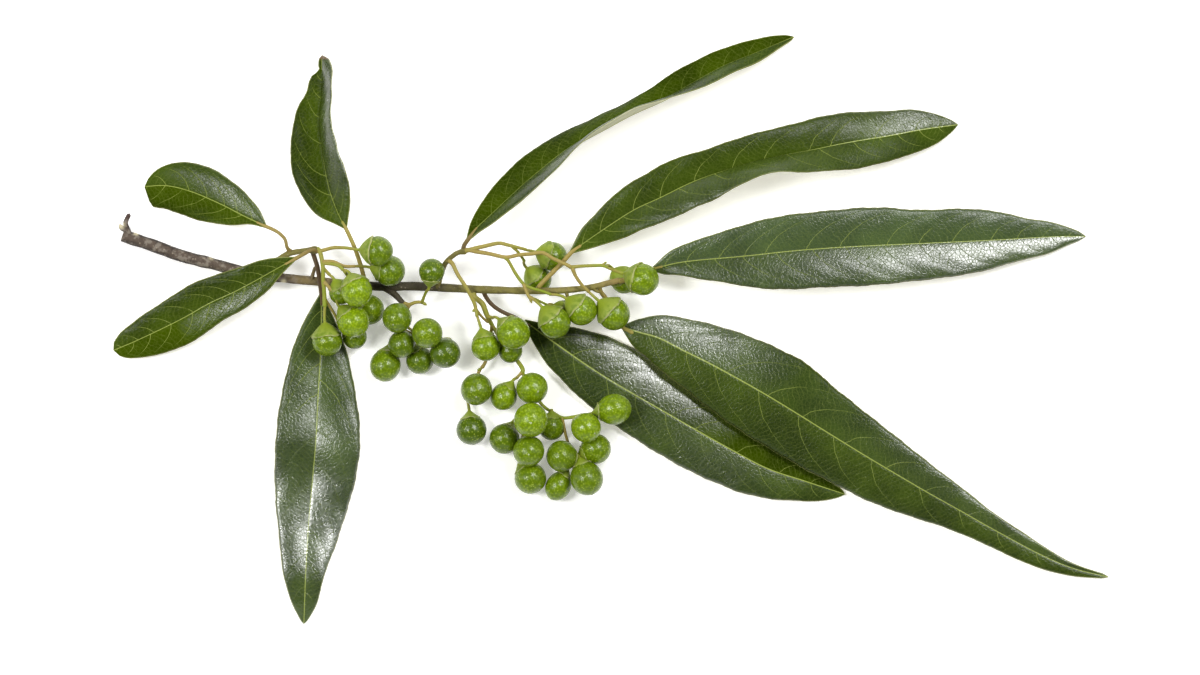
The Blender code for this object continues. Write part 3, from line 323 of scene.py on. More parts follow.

# Each leaf: its petiole as x, y, height, radius, from the wood to the blade, and its midrib as x, y,
# height. Each margin, first the left one as seen from the base, is given by stations of share of
# the length, distance out and height up from the midrib, after the one that all start with.
# Each pair after that is for the left and right half: where the side veins leave the midrib, as
# shares of the length, how strongly the wax shines at the gloss stations, and how grey the waxy
# bloom and its painted sheen of reflected light make it. Then come how green the petiole is, how
# clear the side veins are, how light the blade is, and the share of the length that is dry at the tip.
LEAVES = {
    "leaf_a": {
        "petiole": [
            (-52.6, 14, 6.3, .4), (-53.6, 14.2, 7.2, .36), (-55.3, 13.3, 7.2, .36),
            (-56.9, 12.4, 6.8, .36), (-58.5, 11.5, 6.5, .3),
        ],
        "midrib": [
            (-56.5, 12.7, 6.9), (-66.2, 7.35, 5.2), (-72.1, 4.6, 4), (-77.1, 1.8, 2.8), (-84.6, -1.8, 1.3),
            (-89.3, -3.8, .3),
        ],
        "margins": (
            [(.09, 1.3, .3), (.17, 2.4, .5), (.3, 3.4, .6), (.45, 3.9, .6), (.6, 4.5, .5), (.7, 4.5, .4),
             (.8, 4, .3), (.91, 2.9, .2), (.97, 1.8, .1), (1, .7, 0)],
            [(.06, 1.5, .3), (.15, 2.8, .6), (.24, 3.4, .7), (.39, 4.2, .8), (.5, 4.6, .8), (.7, 4.2, .6),
             (.84, 3.4, .4), (.95, 2.2, .1), (1, .9, 0)],
        ),
        "veins": (
            [.06, .117, .19, .28, .34, .4, .47, .567, .69, .8, .89],
            [.05, .1, .175, .27, .36, .44, .56, .69, .78, .87],
        ),
        "gloss": ((.05, .46, 0, 0), (.15, .15, .15, .1)), "bloom_and_sheen": (0, .02), "green": -.18, "contrast": .6,
        "lightness": .1,
    },
    "leaf_b": {
        "petiole": [
            (-57.4, 13.95, 5.1, .4), (-58, 14.7, 5.9, .33), (-58.4, 16.2, 6, .33), (-59.8, 17.5, 5.8, .33),
            (-61.9, 18.5, 5.4, .33), (-63.7, 19.3, 5, .28),
        ],
        "midrib": [
            (-61.9, 18.5, 5.4), (-66.1, 20.5, 4.6), (-69.8, 22.4, 3.6), (-75.2, 24.7, 2.2),
            (-79.7, 25.8, 1.3), (-83.7, 25.7, .3),
        ],
        "margins": (
            [(.12, 1, .1), (.24, 2.6, .3), (.46, 4.2, .5), (.62, 4.5, .5), (.8, 4.2, .4), (.94, 3.8, .2),
             (.965, 3.5, .1), (.975, 2.6, .1), (1, 2.3, 0)],
            [(.05, 1.4, .1), (.1, 2.3, .2), (.22, 3.5, .4), (.43, 4.8, .7), (.59, 5.2, .7), (.73, 4.8, .5),
             (.85, 3.7, .3), (.95, 1.9, .1), (1, .6, 0)],
        ),
        "veins": ([.11, .2, .33, .51, .7, .84], [.11, .24, .35, .5, .65, .83]),
        "gloss": ((.03, .03, 0, 0), (.42, .38, .12, 0)), "bloom_and_sheen": (0, .06), "green": -.14, "contrast": .6,
        "lightness": .11,
    },
    "leaf_c": {
        "petiole": [
            (-43.6, 7.6, 3.2, .45), (-44, 8.6, 4.35, .4), (-45, 12.2, 4.9, .4), (-46.1, 15.2, 5.3, .38),
            (-47.5, 18.2, 5.3, .36), (-48.2, 19.6, 5.1, .3),
        ],
        "midrib": [
            (-47.5, 18.2, 5.3), (-48.6, 20.3, 5), (-50, 23.9, 4.3), (-50.9, 27.4, 3.5), (-51.9, 33.5, 2.2),
            (-52.2, 38, 1.4), (-51.8, 42.1, .9), (-51.8, 49.3, .3),
        ],
        "margins": (
            [(.05, 1.5, .2), (.1, 3.1, .3), (.21, 4.8, -.2), (.32, 5.8, -.5), (.41, 6, -.5),
             (.58, 5.1, -.3), (.72, 3.8, -.1), (.8, 2.8, .1), (.86, 2.3, .1), (.892, 1.7, .1),
             (.91, .75, -.1), (.95, .7, -.2), (1, .5, 0)],
            [(.05, 1.5, .6), (.14, 2.9, 1.9), (.28, 3.7, 3.6), (.43, 2.9, 4.6), (.63, 2, 4.4),
             (.77, 1.9, 3.7), (.86, 1.9, 2.6), (.95, 1.7, 1.2), (1, .9, .1)],
        ),
        "veins": ([.08, .2, .31, .5, .65, .755, .86], [.08, .17, .27, .38, .5, .62, .74, .86]),
        "gloss": ((.08, .06, .06, .06), (.15, .85, 1.5, 1.9)), "bloom_and_sheen": (0, .06), "green": .25,
        "contrast": .5, "lightness": .05, "dry": .03,
    },
    "leaf_d": {
        "petiole": [
            (-53.4, 14.1, 6, .45), (-53.2, 13.2, 5.3, .42), (-52.6, 11.3, 5, .42), (-52.2, 9, 4.4, .42),
            (-51.9, 6.3, 3.3, .4), (-51.9, 4.1, 2.7, .32),
        ],
        "midrib": [
            (-51.9, 6.3, 3.3), (-52, -2.2, 1.5), (-52.5, -11.9, 1.9), (-52.9, -20.2, 2.6),
            (-53.5, -27, 1.4), (-54.2, -34.6, 1.5), (-54.7, -43.4, 3), (-54.9, -48.3, 2.1),
            (-55.1, -53, .3),
        ],
        "margins": (
            [(.07, 2.2, -.2), (.16, 4.5, -.7), (.28, 6.5, -.3), (.37, 7.6, .3), (.45, 8, .4),
             (.55, 7.7, .5), (.65, 6.6, -.2), (.76, 5, -.6), (.85, 3.3, -.4), (.94, 2.1, -.1), (1, .4, 0)],
            [(.07, 2.7, .3), (.15, 4.7, .6), (.25, 6, .7), (.42, 7.2, .7), (.51, 7.1, .7), (.63, 6.3, .5),
             (.73, 5.2, .4), (.84, 4.1, .2), (.93, 2.4, .1), (1, .4, 0)],
        ),
        "veins": (
            [.05, .11, .175, .26, .41, .51, .61, .71, .81, .9],
            [.05, .1, .155, .21, .3, .43, .575, .685, .785, .88],
        ),
        "gloss": ((.35, .4, 2.3, .8), (.15, .7, 1.6, .9)), "bloom_and_sheen": (.16, .13), "green": -.5,
        "contrast": .7, "lightness": .04,
    },
    "leaf_e": {
        "petiole": [
            (-26.3, 14.1, 7, .45), (-26.2, 15, 7.4, .4), (-25.6, 15.9, 7.8, .4), (-24.9, 16.8, 8.1, .38),
            (-23.6, 18.4, 8.4, .3),
        ],
        "midrib": [
            (-25.5, 16.1, 7.9), (-23.8, 18.2, 8.4), (-21.1, 20.7, 8.9), (-15.5, 25.9, 9.3),
            (-9.7, 30.7, 9.2), (-5.9, 33.3, 8.9), (-.2, 36.4, 8.3), (4.1, 38.7, 7.6), (9.9, 41.3, 6.4),
            (14.6, 44, 5.2), (20.3, 47.2, 3.7), (26.8, 49.9, 2), (33.1, 52.6, .3),
        ],
        "margins": (
            [(.05, 1.9, -.3), (.09, 2.8, -.5), (.16, 3.6, -.8), (.24, 3.9, -1.2), (.31, 3.6, -2.2),
             (.38, 3.1, -3.4), (.46, 2.7, -3.8), (.53, 2.5, -3.8), (.59, 2.8, -3.2), (.65, 3.3, -2.2),
             (.72, 3.4, -1.4), (.8, 3.1, -.8), (.88, 2.6, -.4), (.96, 1.5, -.1), (1, .4, 0)],
            [(.07, 1.4, 1.4), (.15, 1.8, 3), (.22, 2, 3.6), (.31, 1.6, 4.1), (.37, .6, 4.3),
             (.42, -.4, 4.3), (.5, -.6, 4.2), (.57, -.5, 4.1), (.63, .2, 3.8), (.69, 1.2, 3.2),
             (.75, 1.8, 2.7), (.83, 1.8, 2.1), (.9, 1.6, 1.4), (.96, .9, .6), (1, .4, 0)],
        ),
        "veins": (
            [.04, .09, .142, .2, .262, .315, .38, .45, .53, .61, .675, .73, .8, .87, .93],
            [.06, .12, .18, .24, .3, .37, .45, .53, .61, .68, .75, .82, .89, .95],
        ),
        "gloss": ((0, .05, 0, 0), (.2, 1, .4, .05)), "bloom_and_sheen": (0, .08), "green": -.28, "contrast": .25,
        "lightness": .04,
    },
    "leaf_f": {
        "petiole": [
            (-13, 7, 5, .45), (-12.6, 7.8, 6.05, .42), (-11.1, 9.4, 6.4, .42), (-8.6, 11.9, 7.1, .42),
            (-6.8, 13.9, 7.6, .4), (-5, 15.1, 7.8, .3),
        ],
        "midrib": [
            (-7, 13.8, 7.6), (-2, 17.3, 8), (4, 21.2, 8.6), (9.1, 23.6, 9), (15.1, 26.5, 9.3),
            (21.1, 28.6, 9.3), (27.4, 30.4, 8.8), (35.6, 32, 7.4), (42.8, 33.5, 5.8), (50, 34.7, 4),
            (56.3, 35.9, 2.3), (62.6, 36.8, .3),
        ],
        "margins": (
            [(.05, 2.3, .3), (.1, 3.2, .4), (.17, 4.3, .5), (.24, 5, .5), (.31, 5.2, .5), (.37, 4.7, 1.2),
             (.45, 4.8, 1), (.58, 5.2, .5), (.68, 5.6, 0), (.75, 5.3, -.6), (.82, 4.6, -.9),
             (.91, 3.5, -.7), (.96, 2, -.3), (1, .4, 0)],
            [(.05, 1.7, .6), (.11, 3.1, 1), (.2, 4, 1.5), (.3, 4.4, 1.9), (.38, 4.3, 2.4), (.45, 3.2, 3.6),
             (.51, 2.8, 4), (.59, 3.5, 3.3), (.66, 4.3, 2.2), (.73, 4.9, 1.1), (.8, 4.6, .6), (.87, 4, .3),
             (.94, 2.9, .1), (1, .4, 0)],
        ),
        "veins": (
            [.035, .085, .18, .25, .34, .436, .515, .626, .677, .79, .89, .95],
            [.045, .095, .15, .21, .3, .39, .48, .57, .65, .735, .8, .846, .9, .95],
        ),
        "gloss": ((.2, .1, .15, .8), (0, .7, .2, 0)), "bloom_and_sheen": (.03, .06), "green": .05, "contrast": .6,
        "lightness": .08,
    },
    "leaf_g": {
        "petiole": [
            (1.6, 8.6, 5.5, .48), (3.1, 8.9, 5.6, .42), (4, 9.4, 5, .42), (5, 10, 4.3, .42),
            (6.3, 10.5, 4, .4), (7.7, 10.9, 4.05, .36), (9.7, 11.3, 4.3, .28),
        ],
        "midrib": [
            (7.6, 10.8, 4.05), (13.3, 12.1, 4.8), (23.9, 13.1, 5.6), (34.4, 14.2, 5.7), (45, 14.9, 5.2),
            (58.1, 15.5, 4), (68.8, 16, 2.7), (79.4, 16.6, 1.2), (85.6, 16.7, .3),
        ],
        "margins": (
            [(.05, 2.4, .4), (.11, 3.7, .6), (.18, 5, .8), (.28, 6.3, .9), (.4, 6.7, .9), (.53, 6.8, .7),
             (.61, 6.1, .6), (.74, 5.8, .4), (.81, 4.9, .3), (.86, 3.7, .2), (.92, 2.7, .1), (.97, 1.4, 0),
             (1, .4, 0)],
            [(.02, 1.4, .1), (.05, 2.1, .3), (.1, 3.3, .5), (.17, 4.6, .8), (.22, 5.7, 1), (.3, 6.8, 1.2),
             (.4, 7, 1.3), (.52, 7.1, 1.3), (.6, 6.7, 1.1), (.66, 6.4, 1), (.75, 5.6, .8), (.83, 4.2, .5),
             (.92, 2.8, .2), (.97, 1.3, .1), (1, .4, 0)],
        ),
        "veins": (
            [.03, .08, .155, .215, .26, .355, .43, .54, .615, .69, .78, .84, .9],
            [.03, .075, .145, .21, .285, .37, .445, .53, .615, .7, .77, .85, .92],
        ),
        "gloss": ((.55, .55, .35, .5), (.5, .6, 1.15, 1.6)), "bloom_and_sheen": (.27, .14), "green": .3,
        "contrast": .5, "lightness": -.03,
    },
    "leaf_h": {
        "petiole": [
            (-22.7, 6.9, 4.3, .45), (-22.3, 5.8, 3.5, .4), (-21.1, 4.3, 3, .4), (-19.3, 3.1, 2.6, .38),
            (-16.6, 1.9, 2.35, .36), (-14, .4, 2.2, .28),
        ],
        "midrib": [
            (-15.4, 1.5, 2.3), (-10.3, -2.2, 2.3), (-1.4, -8.3, 2.2), (11.2, -15.7, 2), (22.9, -22.3, 1.7),
            (28.6, -25.2, 1.4), (34.6, -27.2, 1), (42.3, -29.7, .3),
        ],
        "margins": (
            [(.05, 1.8, -.2), (.13, 4.6, -.6), (.2, 6.2, -1), (.27, 7, -1.2), (.38, 7, -1.3),
             (.5, 6.7, -1.3), (.65, 6, -1), (.78, 4.6, -.6), (.88, 3, -.3), (.95, 1.6, 0), (1, .4, 0)],
            [(.05, 2.1, -.1), (.11, 3.8, -.3), (.17, 4.7, -.4), (.28, 6, -.6), (.37, 6.6, -.7),
             (.52, 7.1, -.8), (.6, 7, -.7), (.67, 6.6, -.6), (.73, 6.1, -.5), (.8, 5.1, -.3),
             (.87, 4, -.1), (.95, 2.3, 0), (1, .4, 0)],
        ),
        "veins": (
            [.04, .09, .16, .225, .275, .385, .475, .55, .68, .81, .9],
            [.05, .1, .165, .275, .365, .46, .57, .665, .75, .825, .9],
        ),
        "gloss": ((.1, 1.5, 0, 0), (.1, .35, 1, .05)), "bloom_and_sheen": (0, .07), "green": -.5, "contrast": .45,
        "lightness": -.05,
    },
    "leaf_i": {
        "petiole": [
            (-1.9, 7.9, 5.35, .45), (-1.7, 6.8, 4.4, .42), (-.7, 5.4, 3.3, .42), (.5, 3.1, 2.7, .4),
            (1.8, .7, 3.1, .38), (4.3, -.8, 3.5, .3),
        ],
        "midrib": [
            (2.2, .4, 3.1), (5.4, -.6, 3.5), (8.8, -1.6, 3.8), (13.5, -4, 4.2), (18.9, -6.7, 4.4),
            (28.6, -12.1, 4.4), (40.3, -19.3, 3.9), (47, -23.4, 3.5), (56, -28.7, 2.9), (62.6, -32.4, 2.4),
            (69.7, -36.4, 1.9), (77.4, -40.5, 1.3), (83.3, -43, .9), (89.7, -44.6, .3),
        ],
        "margins": (
            [(.015, 1.6, -.1), (.05, 3.6, -.4), (.1, 5.4, -1.2), (.16, 6.8, -1.6), (.22, 7.8, -1.2),
             (.28, 8.4, -.1), (.33, 8.5, .7), (.37, 7.8, .8), (.45, 6.8, .7), (.54, 5.7, .6),
             (.62, 4.6, .5), (.68, 3.8, .4), (.75, 2.7, .3), (.83, 2, .2), (.93, .9, .1), (1, .35, 0)],
            [(.03, 2.8, -.3), (.08, 4.6, -.6), (.13, 5.6, -.8), (.19, 6.9, -1.1), (.27, 7.9, -1.4),
             (.35, 8.1, -1.5), (.42, 7.8, -1.5), (.5, 7.2, -1.4), (.56, 6.6, -1.2), (.62, 5.5, -1),
             (.69, 4.1, -.6), (.75, 3.3, -.4), (.81, 2.9, -.2), (.88, 2.3, -.1), (.95, 1.2, 0),
             (1, .35, 0)],
        ),
        "veins": (
            [.035, .078, .125, .2075, .295, .367, .46, .545, .63, .72, .8, .88],
            [.05, .125, .185, .275, .36, .435, .515, .62, .7, .78, .86, .93],
        ),
        "gloss": ((1.5, 0, .8, .8), (.3, .3, .4, .3)), "bloom_and_sheen": (.1, .03), "green": .2, "contrast": .5,
        "lightness": 0,
    },
}

# What settings of one kind have in common
COLOUR = {"size": 3, "min": 0, "max": 1, "subtype": "COLOR"}
SHARE = {"min": 0, "max": 1, "subtype": "FACTOR"}
LENGTH = {"unit": "LENGTH", "precision": 5}


class SprigLeafSettings(bpy.types.PropertyGroup):
    """Sizes and colours of the leaves."""
    thickness: bpy.props.FloatProperty(
        name="Blade thickness", description="Thickness of the blade between the veins",
        default=0.4 * MM, min=0.1 * MM, **LENGTH)
    quilting: bpy.props.FloatProperty(
        name="Quilting", description="How far the blade bulges between two side veins",
        default=0.06 * MM, min=0, **LENGTH)
    ripple: bpy.props.FloatProperty(
        name="Ripple", description="Height of the small waves along the margin",
        default=0.13 * MM, min=0, **LENGTH)
    roughness: bpy.props.FloatProperty(
        name="Roughness", description="How soft the gloss of the upper side is",
        default=0.28, **SHARE)
    shade: bpy.props.FloatVectorProperty(
        name="Deep green", description="Colour of the blade where it is darkest",
        default=(0.0150, 0.0275, 0.0005), **COLOUR)
    light: bpy.props.FloatVectorProperty(
        name="Bright green", description="Colour of the blade where it is brightest",
        default=(0.041, 0.069, 0.0006), **COLOUR)
    vein: bpy.props.FloatVectorProperty(
        name="Vein", description="Colour of the midrib and the side veins",
        default=(0.34, 0.40, 0.09), **COLOUR)
    under: bpy.props.FloatVectorProperty(
        name="Underside", description="Colour of the blade's underside",
        default=(0.60, 0.58, 0.40), **COLOUR)


class SprigBerrySettings(bpy.types.PropertyGroup):
    """Colours and gloss of the berries."""
    shade: bpy.props.FloatVectorProperty(
        name="Green", description="Skin of the greenest berries",
        default=(0.053, 0.095, 0.002), **COLOUR)
    light: bpy.props.FloatVectorProperty(
        name="Lime", description="Skin of the palest berries",
        default=(0.215, 0.325, 0.003), **COLOUR)
    speck: bpy.props.FloatVectorProperty(
        name="Speck", description="Colour of the tiny oil glands in the skin",
        default=(0.42, 0.50, 0.06), **COLOUR)
    roughness: bpy.props.FloatProperty(
        name="Roughness", description="How soft the skin's highlights are", default=0.25, **SHARE)


class SprigStemSettings(bpy.types.PropertyGroup):
    """Colours of bark and stalks."""
    old_bark: bpy.props.FloatVectorProperty(
        name="Old bark", description="Bark at the thick, cut end of the twig",
        default=(0.082, 0.057, 0.039), **COLOUR)
    middle_bark: bpy.props.FloatVectorProperty(
        name="Middle bark", description="Bark along the middle of the twig",
        default=(0.045, 0.037, 0.015), **COLOUR)
    young_bark: bpy.props.FloatVectorProperty(
        name="Young bark", description="Bark at the thin end of the twig",
        default=(0.150, 0.132, 0.025), **COLOUR)
    stalk: bpy.props.FloatVectorProperty(
        name="Stalk", description="Woody colour of stalks and petioles",
        default=(0.31, 0.24, 0.060), **COLOUR)
    fresh_stalk: bpy.props.FloatVectorProperty(
        name="Fresh stalk", description="Green colour of stalks and cups near the berries",
        default=(0.20, 0.265, 0.012), **COLOUR)


class SprigStageSettings(bpy.types.PropertyGroup):
    """Floor, lights and camera."""
    floor: bpy.props.FloatVectorProperty(
        name="Floor", description="Colour of the surface under the sprig",
        default=(0.95, 0.945, 0.935), **COLOUR)
    glow: bpy.props.FloatProperty(
        name="Floor glow", description="Light that the floor gives off, as a light table does",
        default=0.3, min=0)
    power: bpy.props.FloatProperty(
        name="Softbox power", description="Radiant power of each large softbox",
        default=7.0, min=0, unit="POWER")
    lens: bpy.props.FloatProperty(
        name="Lens", description="Focal length of the camera that looks straight down",
        default=400, min=50, unit="CAMERA")


def unit(rows):
    """Scales each row of an array to length one."""
    return rows / np.linalg.norm(rows, axis=-1, keepdims=True)


def turn(sides):
    """Even angles round a ring."""
    return np.arange(sides) * 2 * math.pi / sides


def path_length(path):
    """Distance travelled at each point of a path."""
    steps = np.linalg.norm(np.diff(path[:, :3], axis=0), axis=1)
    return np.concatenate([[0], np.cumsum(steps)])


def smooth_rows(points, count):
    """Even steps along a Catmull-Rom curve through the points, on every column alike."""
    given = np.array(points, float)
    padded = np.vstack([2 * given[0] - given[1], given, 2 * given[-1] - given[-2]])
    spans = len(given) - 1
    fine = np.linspace(0, spans, spans * 24 + 1)
    span = np.minimum(fine.astype(int), spans - 1)
    s = (fine - span)[:, None]
    a, b, c, d = (padded[span + k] for k in range(4))
    curve = 0.5 * (2 * b + (c - a) * s + (2 * a - 5 * b + 4 * c - d) * s**2
                   + (3 * b - a - 3 * c + d) * s**3)
    travelled = path_length(curve)
    wanted = np.linspace(0, travelled[-1], count)
    return np.column_stack([np.interp(wanted, travelled, column) for column in curve.T])


def stepped_path(rows, step, least):
    """A smooth path in steps of about the given length, and a column of the distance travelled."""
    count = max(least, int(path_length(smooth_rows(rows, 60))[-1] / step))
    path = smooth_rows(rows, count)
    return path, path_length(path)[:, None]


def waves(x, y, seed, scale):
    """A smooth wandering value about 0: a sum of six sine waves of x and y with seeded directions."""
    rng = np.random.default_rng(seed)
    total = 0
    for k in range(6):
        fx, fy = rng.normal(0, scale, 2)
        total = total + np.sin(fx * x + fy * y + rng.uniform(0, 6.3)) / 6
    return total


def round_rings(path, radius, angle):
    """Rings round a path: a point lies radius(station, angle) from it, turned by the angle.

    The angle runs from a side direction, which follows the path without twist, to the up direction.
    """
    tangent = unit(np.gradient(path, axis=0))
    start = np.cross(tangent[0], (0, 0, 1))
    if np.linalg.norm(start) < 0.2:
        start = np.array((1.0, 0, 0))
    sides = []
    for direction in tangent:
        start = start - direction * start.dot(direction)
        start = start / np.linalg.norm(start)
        sides.append(start)
    side = np.array(sides)
    up = np.cross(side, tangent)
    around = side[:, None] * np.cos(angle)[:, None] + up[:, None] * np.sin(angle)[:, None]
    return path[:, None] + around * radius[..., None]


def above_floor(points, height=LEAST_HEIGHT):
    """Lifts what would lie below a small height up to it."""
    points[..., 2] = np.maximum(points[..., 2], height)


class Shell:
    """Collects closed tubes of rings with their attributes, for one mesh."""

    def __init__(self, *layers):
        self.points, self.faces, self.slots = [], [], []
        self.layers = {layer: [] for layer in layers}
        self.count = 0

    def tube(self, rings, slot=0, outward=True, **values):
        """Adds rings of points (stations, sides, 3) with three values a point in each layer.

        Quads join each ring to the next, and one face closes each end.
        """
        count, sides = rings.shape[:2]
        ring, k = np.meshgrid(np.arange(count - 1), np.arange(sides), indexing="ij")
        here = ring * sides + k
        beside = ring * sides + (k + 1) % sides
        quads = np.stack([here, beside, beside + sides, here + sides], -1).reshape(-1, 4) + self.count
        first = np.arange(sides)[::-1] + self.count
        last = np.arange(sides) + (count - 1) * sides + self.count
        way = 1 if outward else -1
        self.faces += [*quads[:, ::way].tolist(), first[::way].tolist(), last[::way].tolist()]
        along_ring = np.broadcast_to(slot, (count - 1, sides)).ravel().tolist()
        self.slots += along_ring + [along_ring[0], along_ring[-1]]
        self.points.append(rings.reshape(-1, 3))
        for layer, rows in self.layers.items():
            parts = [np.broadcast_to(part, (count, sides)) for part in values[layer]]
            rows.append(np.stack(parts, -1).reshape(-1, 3))
        self.count += count * sides

    def piece(self, name, node, slot, finishes):
        """Makes the mesh object, which stands for a node and takes the finishes it is given. The slot is
        not used.
        """
        mesh = bpy.data.meshes.new(name)
        mesh.from_pydata(np.vstack(self.points) * MM, [], self.faces)
        for layer, rows in self.layers.items():
            attribute = mesh.attributes.new(layer, "FLOAT_VECTOR", "POINT")
            attribute.data.foreach_set("vector", np.vstack(rows).astype(np.float32).ravel())
        for finish in finishes:
            mesh.materials.append(finish)
        mesh.polygons.foreach_set("material_index", np.array(self.slots, np.int32))
        mesh.shade_smooth()
        mesh.update()
        thing = bpy.data.objects.new(name, mesh)
        bpy.context.scene.collection.objects.link(thing)
        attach(thing, "root")
        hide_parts(node)


# Materials


class Signal:
    """A value in a finish. Sums, products and the like of signals become Math nodes."""

    def __init__(self, finish, socket):
        self.finish, self.socket = finish, socket

    def combine(self, operation, *others):
        """A Math node with this signal first and the others after it."""
        node = self.finish.tree.nodes.new("ShaderNodeMath")
        node.operation = operation
        for socket, value in zip(node.inputs, (self, *others)):
            self.finish.feed(socket, value)
        return Signal(self.finish, node.outputs[0])

    def __add__(self, other):
        return self.combine("ADD", other)

    def __sub__(self, other):
        return self.combine("SUBTRACT", other)

    def __mul__(self, other):
        return self.combine("MULTIPLY", other)

    def __abs__(self):
        return self.combine("ABSOLUTE")

    def fold(self):
        """Distance to the nearest whole number."""
        return self.combine("PINGPONG", 0.5)

    def step(self, low, high):
        """Smooth step from 0 at low to 1 at high; high may be the smaller of the two."""
        return self.finish.node("ShaderNodeMapRange", "Result", {"interpolation_type": "SMOOTHSTEP"},
                                Value=self, From_Min=low, From_Max=high)


class Finish:
    """One material's node tree on a ground colour, with a short call for each kind of node."""

    def __init__(self, name, ground):
        self.material = bpy.data.materials.new(name)
        self.material.use_nodes = True
        self.tree = self.material.node_tree
        self.shader = self.tree.nodes["Principled BSDF"]
        self.place = self.node("ShaderNodeTexCoord", "Object")
        self.colour = ground

    def feed(self, socket, value):
        """Links a signal to a socket, or sets the socket's constant."""
        if isinstance(value, Signal):
            self.tree.links.new(value.socket, socket)
        elif socket.type == "RGBA":
            socket.default_value = (*value, 1)
        else:
            socket.default_value = value

    def node(self, kind, output, settings=None, **inputs):
        """Adds a node, feeds its inputs by name and returns one of its outputs."""
        node = self.tree.nodes.new(kind)
        for setting, value in (settings or {}).items():
            setattr(node, setting, value)
        for key, value in inputs.items():
            name = key.replace("_", " ")
            self.feed(next(s for s in node.inputs if s.name == name and s.enabled), value)
        return Signal(self, next(s for s in node.outputs if s.name == output and s.enabled))

    def over(self, share, colour):
        """Lays a colour over what is there, by a share from 0 to 1."""
        self.colour = self.node("ShaderNodeMix", "Result", {"data_type": "RGBA"},
                                Factor=share, A=self.colour, B=colour)

    def noise(self, size, detail=2):
        """Noise from 0 to 1 with features of about the given size in millimetres."""
        return self.node("ShaderNodeTexNoise", "Fac", Vector=self.place, Scale=1 / (size * MM),
                         Detail=detail)

    def cells(self, size, feature="F1"):
        """Distance to the middle, or to the edge, of cells of about the given size in millimetres."""
        return self.node("ShaderNodeTexVoronoi", "Distance", {"feature": feature},
                         Vector=self.place, Scale=1 / (size * MM))

    def layer(self, name):
        """The three values of one of the mesh's own layers."""
        node = self.tree.nodes.new("ShaderNodeSeparateXYZ")
        self.feed(node.inputs[0], self.node("ShaderNodeAttribute", "Vector", {"attribute_name": name}))
        return [Signal(self, socket) for socket in node.outputs]

    def bump(self, height, depth):
        """Bump from a height of 0 to 1, worth a depth in millimetres."""
        self.feed(self.shader.inputs["Normal"],
                  self.node("ShaderNodeBump", "Normal", Height=height, Distance=depth * MM, Strength=1))

    def finished(self, **inputs):
        """Feeds the colour and the named ones of the shader's own sockets."""
        for key, value in {"Base_Color": self.colour, **inputs}.items():
            self.feed(self.shader.inputs[key.replace("_", " ")], value)
        return self.material


def leaf_finish(name, settings, spec):
    """Waxy green upper side: thin pale veins, fine crosswise net and grain, a grey bloom that also paints a
    sheen of reflected light, and a pale edge painted as light through the thin margin.
    """
    finish = Finish(name, settings.shade)
    phase, spacing, travel = finish.layer("veins")
    along, off, edge = finish.layer("blade")
    gloss, bloom_and_sheen, _ = finish.layer("wax")
    wander = finish.noise(2.5) - 0.5
    away = abs(off)
    gap = (wander * 0.12 + phase).fold() * spacing
    patchy = finish.noise(3.0, 1).step(0.22, 0.50)
    vein = gap.step(0.10, 0.02) * (edge.step(0.2, 1.4) * patchy)
    rib = away.step(along * -0.06 + 0.16, 0.04)
    lines = (wander * 2.6 + travel * 1.3).fold().step(0.13, 0.0) * finish.noise(2.2).step(0.25, 0.65)
    cracks = finish.cells(0.62, "DISTANCE_TO_EDGE").step(0.16, 0.0)
    net = cracks * 0.45 + lines
    grain = finish.noise(0.8)
    cloud = finish.noise(8.0, 3)
    tone = away.step(4.5, 0.0) * 0.16 + (cloud + spec["lightness"])
    finish.over(tone.step(0.35, 0.95), settings.light)
    finish.over(gap.step(0.6, 0.0) * 0.14, settings.light)
    # Waxy bloom, whose grey also paints a sheen of reflected light over the blade
    finish.over(bloom_and_sheen * (cloud + 0.5), BLOOM_AND_SHEEN_GREY)
    finish.over(net * 0.11, settings.vein)
    shown = gloss.step(0.55, 1.0) * (-0.8 * spec["contrast"]) + spec["contrast"]
    finish.over(vein * shown, settings.vein)
    finish.over(rib * 0.80, settings.vein)
    # Painted light: the thin edge of the blade turns pale, as if lit through
    finish.over(edge.step(0.24, 0.06) * 0.45, MARGIN_PAINTED_LIGHT)
    if "dry" in spec:
        finish.over(along.step(1 - spec["dry"], 1 - spec["dry"] / 2), DRY_TIP)
    finish.bump(cracks * -0.22 + grain * 0.35 - net * 0.25 - vein * 0.7, 0.042)
    return finish.finished(Roughness=grain * 0.14 + (settings.roughness - 0.07),
                           Specular_IOR_Level=gloss * (vein * -0.85 - net * 0.4 + 1))


def underside_finish(settings):
    """Matt pale underside with raised veins of a yellower green."""
    finish = Finish("leaf_underside", settings.under)
    phase, spacing, _ = finish.layer("veins")
    _, off, _ = finish.layer("blade")
    vein = (phase.fold() * spacing).step(0.35, 0.1).combine("MAXIMUM", abs(off).step(0.6, 0.3))
    finish.over(finish.noise(4.0, 3), UNDERSIDE_SHADE)
    finish.over(vein * 0.6, UNDERSIDE_VEIN)
    finish.bump(finish.noise(0.4, 3), 0.05)
    return finish.finished(Roughness=0.7)


